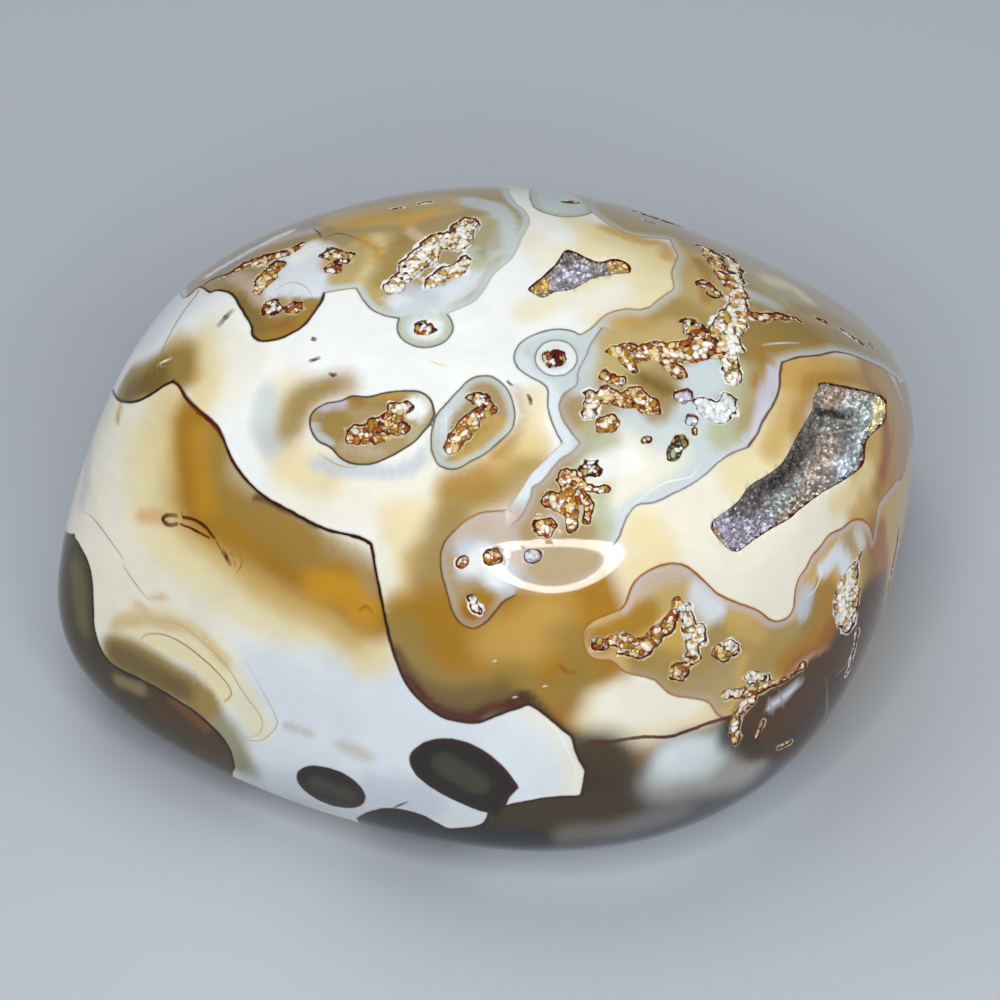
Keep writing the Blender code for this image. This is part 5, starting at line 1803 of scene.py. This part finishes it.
def zone_edge_group():
    """A zone over what lies below it: its fine bands, the pale or tinted rim inside its edge, and the
    dark line on the edge."""
    number, colour = "NodeSocketFloat", "NodeSocketColor"
    tree, given, result = new_group("zone_edge", (
        ("Below", colour), ("Zone", colour), ("Line", colour), ("Ink", number), ("Rim", colour),
        ("Rim Strength", number), ("Depth", number), ("Line Width", number), ("Banding", number),
    ), (("Colour", colour),))
    wobble = calculate(tree, "MULTIPLY_ADD", noise(tree, *EDGE_CLOUDS), *EDGE_SWAY)
    depth = calculate(tree, "ADD", given["Depth"], wobble)
    shown = rise(tree, given["Ink"], *INK_RISE)
    soft = rise(tree, given["Ink"], *SOFT_FADE)
    inside = rise(tree, depth, calculate(tree, "MULTIPLY_ADD", soft, *OUTSIDE_SWAY),
                  calculate(tree, "MULTIPLY_ADD", soft, *INSIDE_SWAY))
    fading = calculate(tree, "MULTIPLY", rise(tree, depth, *RIM_FADE), given["Rim Strength"])
    zone_colour = tinted(tree, fading, given["Zone"], given["Rim"])
    spread = calculate(tree, "MULTIPLY_ADD", noise(tree, *BAND_CLOUDS), BAND_BEND, depth)
    wave = calculate(tree, "SINE", calculate(tree, "MULTIPLY", spread, 2 * math.pi / BAND_GAP))
    wave = calculate(tree, "MULTIPLY", wave, rise(tree, depth, *BAND_FADE))
    patches = noise(tree, *BAND_PATCH_CLOUDS, seed=BAND_PATCH_SEED)
    wave = calculate(tree, "MULTIPLY", wave, rise(tree, patches, *BAND_PATCH_RISE))
    wave = calculate(tree, "MULTIPLY", wave, given["Banding"])
    zone_colour = brightened(tree, zone_colour, calculate(tree, "ADD", 1.0, wave))
    painted = tinted(tree, inside, given["Below"], zone_colour)
    width = calculate(tree, "MULTIPLY", given["Line Width"],
                      calculate(tree, "MULTIPLY_ADD", given["Ink"], *WIDTH_SWAY))
    uneven = calculate(tree, "MULTIPLY_ADD", noise(tree, *UNEVEN_CLOUDS), *UNEVEN_SWAY)
    off = calculate(tree, "SUBTRACT", calculate(tree, "ABSOLUTE", depth),
                    calculate(tree, "MULTIPLY", width, uneven))
    stain = calculate(tree, "MULTIPLY", rise(tree, off, *STAIN_FADE), given["Ink"])
    painted = tinted(tree, stain, painted, given["Line"])
    line = calculate(tree, "MULTIPLY", rise(tree, off, *EDGE_LINE_FADE), shown)
    painted = tinted(tree, line, painted, given["Line"])
    tree.links.new(painted, result["Colour"])
    return tree


def thin_line_group():
    """A thin line over a colour, from its signed side and its ink."""
    number, colour = "NodeSocketFloat", "NodeSocketColor"
    tree, given, result = new_group("thin_line", (
        ("Below", colour), ("Side", number), ("Ink", number), ("Line Colour", colour),
    ), (("Colour", colour),))
    wobble = calculate(tree, "MULTIPLY_ADD", noise(tree, *THIN_CLOUDS), *THIN_SWAY)
    side = calculate(tree, "ABSOLUTE", calculate(tree, "ADD", given["Side"], wobble))
    line = calculate(tree, "MULTIPLY", rise(tree, side, *THIN_FADE), given["Ink"])
    tree.links.new(tinted(tree, line, given["Below"], given["Line Colour"]), result["Colour"])
    return tree


def skin_material(sizes):
    """Polished chalcedony: zones one over another, then cracks and veins, then what rims the open
    tubes and hollows."""
    material, tree, shader = new_material("polished_chalcedony_skin")
    dark = opaque(bpy.context.scene.carnelian_colours.maroon)
    zone_edge, thin_line = zone_edge_group(), thin_line_group()
    below = read(tree, "ground_colour")
    for layer in range(1, LAYERS):
        below = add(tree, "ShaderNodeGroup", {
            "Below": below,
            "Zone": read(tree, f"zone_{layer}_colour"),
            "Line": read(tree, f"zone_{layer}_line"),
            "Ink": read(tree, f"zone_{layer}_line", "Alpha"),
            "Rim": read(tree, f"zone_{layer}_rim"),
            "Rim Strength": read(tree, f"zone_{layer}_rim", "Alpha"),
            "Depth": read(tree, f"zone_{layer}_depth", "Fac"),
            "Line Width": sizes.line_width / MM,
            "Banding": sizes.banding,
        }, node_tree=zone_edge).outputs["Colour"]
    for name in ("crack", "vein"):
        below = add(tree, "ShaderNodeGroup", {
            "Below": below,
            "Side": read(tree, f"{name}_side", "Fac"),
            "Ink": read(tree, f"{name}_ink", "Alpha"),
            "Line Colour": read(tree, f"{name}_ink"),
        }, node_tree=thin_line).outputs["Colour"]
    cloud = calculate(tree, "MULTIPLY_ADD", noise(tree, *SKIN_CLOUDS), *SKIN_SWAY)
    below = brightened(tree, below, cloud)
    wobble = calculate(tree, "MULTIPLY_ADD", noise(tree, *OPEN_CLOUDS), *OPEN_SWAY)
    gap = calculate(tree, "ADD", read(tree, "open_gap", "Fac"), wobble)
    far = noise(tree, *REACH_CLOUDS, seed=REACH_SEED)
    reach = calculate(tree, "MULTIPLY_ADD", far, *REACH_SWAY)
    band = rise(tree, calculate(tree, "ADD", gap, reach), *OPEN_BAND_FADE)
    band = calculate(tree, "MULTIPLY", band, read(tree, "open_band", "Alpha"))
    below = tinted(tree, band, below, read(tree, "open_band"))
    rim = rise(tree, gap, *OPEN_RIM_FADE)
    below = tinted(tree, rim, below, dark)
    bowl = rise(tree, gap, *BOWL_FADE)
    ridges = rise(tree, noise(tree, *RIDGE_CLOUDS, seed=RIDGE_SEED), *RIDGE_RISE)
    lining = tinted(tree, ridges, read(tree, "open_bowl"), read(tree, "open_band"))
    below = tinted(tree, bowl, below, lining)
    tree.links.new(below, shader.inputs["Base Color"])
    polish = calculate(tree, "MULTIPLY_ADD", noise(tree, *POLISH_CLOUDS), *POLISH_SWAY)
    rough = calculate(tree, "MULTIPLY_ADD", bowl, BOWL_ROUGHNESS, polish)
    tree.links.new(rough, shader.inputs["Roughness"])
    shader.inputs["IOR"].default_value = CHALCEDONY_IOR
    return material


def lining_material():
    """Glossy rounded lumps of chalcedony, each of its own colours, with a fine grain."""
    material, tree, shader = new_material("tube_lining_chalcedony")
    cloud = calculate(tree, "MULTIPLY_ADD", noise(tree, *LUMP_CLOUDS), *LUMP_SWAY)
    colour = brightened(tree, read(tree, "lump_colour"), cloud)
    tree.links.new(colour, shader.inputs["Base Color"])
    bump = add(tree, "ShaderNodeBump", {
        "Height": noise(tree, *LUMP_GRAIN), "Strength": LUMP_GRAIN_STRENGTH, "Distance": LUMP_GRAIN_HEIGHT,
    })
    tree.links.new(bump.outputs[0], shader.inputs["Normal"])
    shader.inputs["Roughness"].default_value = LUMP_ROUGHNESS
    shader.inputs["IOR"].default_value = CHALCEDONY_IOR
    return material


def druse_material():
    """Small grey quartz crystals, some bright and some dark, with glassy faces."""
    material = bpy.data.materials.get("grey_quartz_points")
    if material:
        return material
    material, tree, shader = new_material("grey_quartz_points")
    tone = read(tree, "druse_tone", "Fac")
    contrast = calculate(tree, "POWER", tone, CRYSTAL_CONTRAST)
    light = calculate(tree, "MULTIPLY_ADD", contrast, *CRYSTAL_SWAY)
    colour = brightened(tree, read(tree, "druse_colour"), light)
    tree.links.new(colour, shader.inputs["Base Color"])
    tree.links.new(rise(tree, tone, *CRYSTAL_GLOSS_RISE), shader.inputs["Roughness"])
    shader.inputs["IOR"].default_value = QUARTZ_IOR
    return material


# The floor, the lamps and the camera, in metres and watts. The ring lamp stands where the skin mirrors
# it at a place on the sheet, and its hole is a share of its size with a soft edge
FLOOR_SIZE = 3.0
FLOOR_ROUGHNESS = 0.8
FLOOR_COLOUR = (0.5, 0.54, 0.6)
WORLD_COLOUR = (0.95, 0.98, 1.0)
CAMERA_LENS = 144.0
CAMERA_SENSOR = 36.0
CAMERA_CLIP = (0.01, 10.0)
SOFT_LAMPS = (
    ("high_soft", (-0.15, 0.32, 0.76), 0.6, 2.0),
    ("right_soft", (0.6, -0.25, 0.35), 0.4, 1.0),
    ("left_soft", (-0.6, -0.3, 0.4), 0.4, 0.75),
)
RING_PLACE = (552, 567)
RING_DISTANCE = 0.3
RING_SIZE = (0.222, 0.183)
RING_POWER = 1.25
RING_HOLE = 0.74
RING_HOLE_GLOW = 0.14
RING_HOLE_EDGE = (-0.015, 0.01)


def aimed(position, target):
    """The matrix that puts a lamp or camera at a position and aims it at a target, upright."""
    back = (Vector(position) - Vector(target)).normalized()
    right = Vector((0, 0, 1)).cross(back).normalized()
    up = back.cross(right)
    return Matrix.Translation(position) @ Matrix((right, up, back)).transposed().to_4x4()


def add_lamp(name, position, target, size, power):
    """An oval soft lamp aimed at a target."""
    lamp = bpy.data.lights.new(name, "AREA")
    lamp.shape, lamp.energy = "ELLIPSE", power
    lamp.size, lamp.size_y = size
    thing = placed(name, lamp)
    thing.matrix_world = aimed(position, target)
    return thing


def ring_pattern(lamp, hole, hole_glow):
    """Makes an oval lamp shine as a ring: it only glows faintly within the hole."""
    lamp.use_nodes = True
    tree = lamp.node_tree
    place = add(tree, "ShaderNodeTexCoord").outputs["UV"]
    centred = add(tree, "ShaderNodeVectorMath", {0: place, 1: (0.5, 0.5, 0.0)}, operation="DISTANCE")
    start, end = (hole / 2 + edge for edge in RING_HOLE_EDGE)
    glow = rise(tree, centred.outputs["Value"], start, end, hole_glow, 1.0)
    tree.links.new(glow, tree.nodes["Emission"].inputs["Strength"])


def build_stage(sizes):
    """The pale floor, the soft lamps, the ring lamp that shows in the polish, and the camera."""
    mesh = bpy.data.meshes.new("floor")
    half = FLOOR_SIZE / 2
    corners = ((-half, -half, 0), (half, -half, 0), (half, half, 0), (-half, half, 0))
    mesh.from_pydata(corners, [], [(0, 1, 2, 3)])
    floor = placed("floor", mesh)
    material, _, shader = new_material("pale_floor")
    shader.inputs["Base Color"].default_value = opaque(FLOOR_COLOUR)
    shader.inputs["Roughness"].default_value = FLOOR_ROUGHNESS
    mesh.materials.append(material)
    world = bpy.data.worlds.new("soft_room")
    world.use_nodes = True
    room = world.node_tree.nodes["Background"]
    room.inputs["Color"].default_value = opaque(WORLD_COLOUR)
    room.inputs["Strength"].default_value = sizes.room_light
    bpy.context.scene.world = world
    heart = HEART * MM
    for name, position, size, power in SOFT_LAMPS:
        add_lamp(name, position, heart, (size, size), power).visible_glossy = False
    point = on_skin(np.array(RING_PLACE, float))
    out, sight = skin_normal(point), unit(EYE - point)
    back = 2 * (out @ sight) * out - sight
    ring = add_lamp("ring_lamp", point * MM + back * RING_DISTANCE, point * MM, RING_SIZE, RING_POWER)
    ring_pattern(ring.data, RING_HOLE, RING_HOLE_GLOW)
    camera = bpy.data.cameras.new("camera")
    camera.lens, camera.sensor_width, camera.sensor_fit = CAMERA_LENS, CAMERA_SENSOR, "HORIZONTAL"
    camera.clip_start, camera.clip_end = CAMERA_CLIP
    thing = placed("camera", camera)
    thing.matrix_world = aimed(EYE * MM, SHEET_HEART * MM)
    bpy.context.scene.camera = thing
    bpy.context.scene.view_settings.view_transform = "Standard"


def shade(name):
    """The property that holds one of the stone's colours."""
    return bpy.props.FloatVectorProperty(
        name=name.capitalize(), description=f"The stone's {name} colour", subtype="COLOR", size=3,
        min=0.0, max=1.0, default=tuple(linear(PALETTE[name])),
    )


class CarnelianColours(bpy.types.PropertyGroup):
    """The colours of the stone's zones, lines and linings."""

    __annotations__ = {name: shade(name) for name in PALETTE}


class CarnelianSizes(bpy.types.PropertyGroup):
    """The sizes of the stone's fine forms and marks, and the light round it."""

    tube_depth: bpy.props.FloatProperty(
        name="Tube depth", description="The most that an open tube is let into the skin",
        default=0.5 * MM, min=0.0, max=3 * MM, subtype="DISTANCE", unit="LENGTH", precision=5)
    tube_slope: bpy.props.FloatProperty(
        name="Tube slope", description="An open tube's depth as a share of its half width",
        default=0.7, min=0.1, max=2.0, subtype="FACTOR")
    line_width: bpy.props.FloatProperty(
        name="Line half width", description="Half the width of the darkest line round a zone",
        default=0.12 * MM, min=0.0, max=0.5 * MM, subtype="DISTANCE", unit="LENGTH", precision=5)
    banding: bpy.props.FloatProperty(
        name="Banding", description="How strongly the fine bands inside a zone's edge show",
        default=0.035, min=0.0, max=0.5, subtype="FACTOR")
    room_light: bpy.props.FloatProperty(
        name="Room light", description="The strength of the even light from all round",
        default=0.14, min=0.0, max=3.0)


def settings(context):
    """The colours, as arrays by name, and the sizes."""
    held = context.scene.carnelian_colours
    return {name: np.array(getattr(held, name)) for name in PALETTE}, context.scene.carnelian_sizes


class CARNELIAN_OT_stage(bpy.types.Operator):
    """Add the pale floor, the lamps and the camera"""

    bl_idname = "carnelian.stage"
    bl_label = "Floor, lamps and camera"

    def execute(self, context):
        build_stage(context.scene.carnelian_sizes)
        return {"FINISHED"}


class CARNELIAN_OT_polished_skin(bpy.types.Operator):
    """Build the polished skin with its banded zones, open tubes and hollows"""

    bl_idname = "carnelian.polished_skin"
    bl_label = "Polished skin"

    def execute(self, context):
        build_skin(*settings(context))
        return {"FINISHED"}


class CARNELIAN_OT_tube_linings(bpy.types.Operator):
    """Build the lumpy linings of the open tubes"""

    bl_idname = "carnelian.tube_linings"
    bl_label = "Tube linings"

    def execute(self, context):
        build_linings(*settings(context))
        return {"FINISHED"}


class CARNELIAN_OT_quartz_druses(bpy.types.Operator):
    """Build the crusts of quartz crystals in the two hollows"""

    bl_idname = "carnelian.quartz_druses"
    bl_label = "Quartz druses"

    def execute(self, context):
        colours = settings(context)[0]
        for number, (name, node, stations) in enumerate(DRUSES):
            build_druse(name, node, stations, DRUSE_SEED + number, colours)
        return {"FINISHED"}


DRUSE_SEED = 21
DRUSES = (
    ("quartz_points_long_hollow", "druse_long_hollow", LONG_HOLLOW),
    ("quartz_points_small_hollow", "druse_small_hollow", SMALL_HOLLOW),
)
OPERATORS = (
    CARNELIAN_OT_stage, CARNELIAN_OT_polished_skin, CARNELIAN_OT_tube_linings,
    CARNELIAN_OT_quartz_druses,
)


class CARNELIAN_PT_sidebar(bpy.types.Panel):
    """The stone's pieces, colours and sizes in the sidebar"""

    bl_idname = "CARNELIAN_PT_sidebar"
    bl_label = "Banded Carnelian"
    bl_space_type = "VIEW_3D"
    bl_region_type = "UI"
    bl_category = "Carnelian"

    def draw(self, context):
        for operator in OPERATORS:
            self.layout.operator(operator.bl_idname)
        for held, names in (
            (context.scene.carnelian_sizes, CarnelianSizes.__annotations__),
            (context.scene.carnelian_colours, PALETTE),
        ):
            column = self.layout.column(align=True)
            for name in names:
                column.prop(held, name)


CLASSES = (CarnelianColours, CarnelianSizes, *OPERATORS, CARNELIAN_PT_sidebar)


def register():
    """Make the stone's operators, settings and panel known."""
    for kind in CLASSES:
        bpy.utils.register_class(kind)
    bpy.types.Scene.carnelian_colours = bpy.props.PointerProperty(type=CarnelianColours)
    bpy.types.Scene.carnelian_sizes = bpy.props.PointerProperty(type=CarnelianSizes)


def unregister():
    """Take them away again."""
    del bpy.types.Scene.carnelian_sizes
    del bpy.types.Scene.carnelian_colours
    for kind in reversed(CLASSES):
        bpy.utils.unregister_class(kind)


def main():
    """Register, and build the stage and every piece."""
    register()
    bpy.ops.carnelian.stage()
    bpy.ops.carnelian.polished_skin()
    bpy.ops.carnelian.tube_linings()
    bpy.ops.carnelian.quartz_druses()


if __name__ == "__main__":
    main()
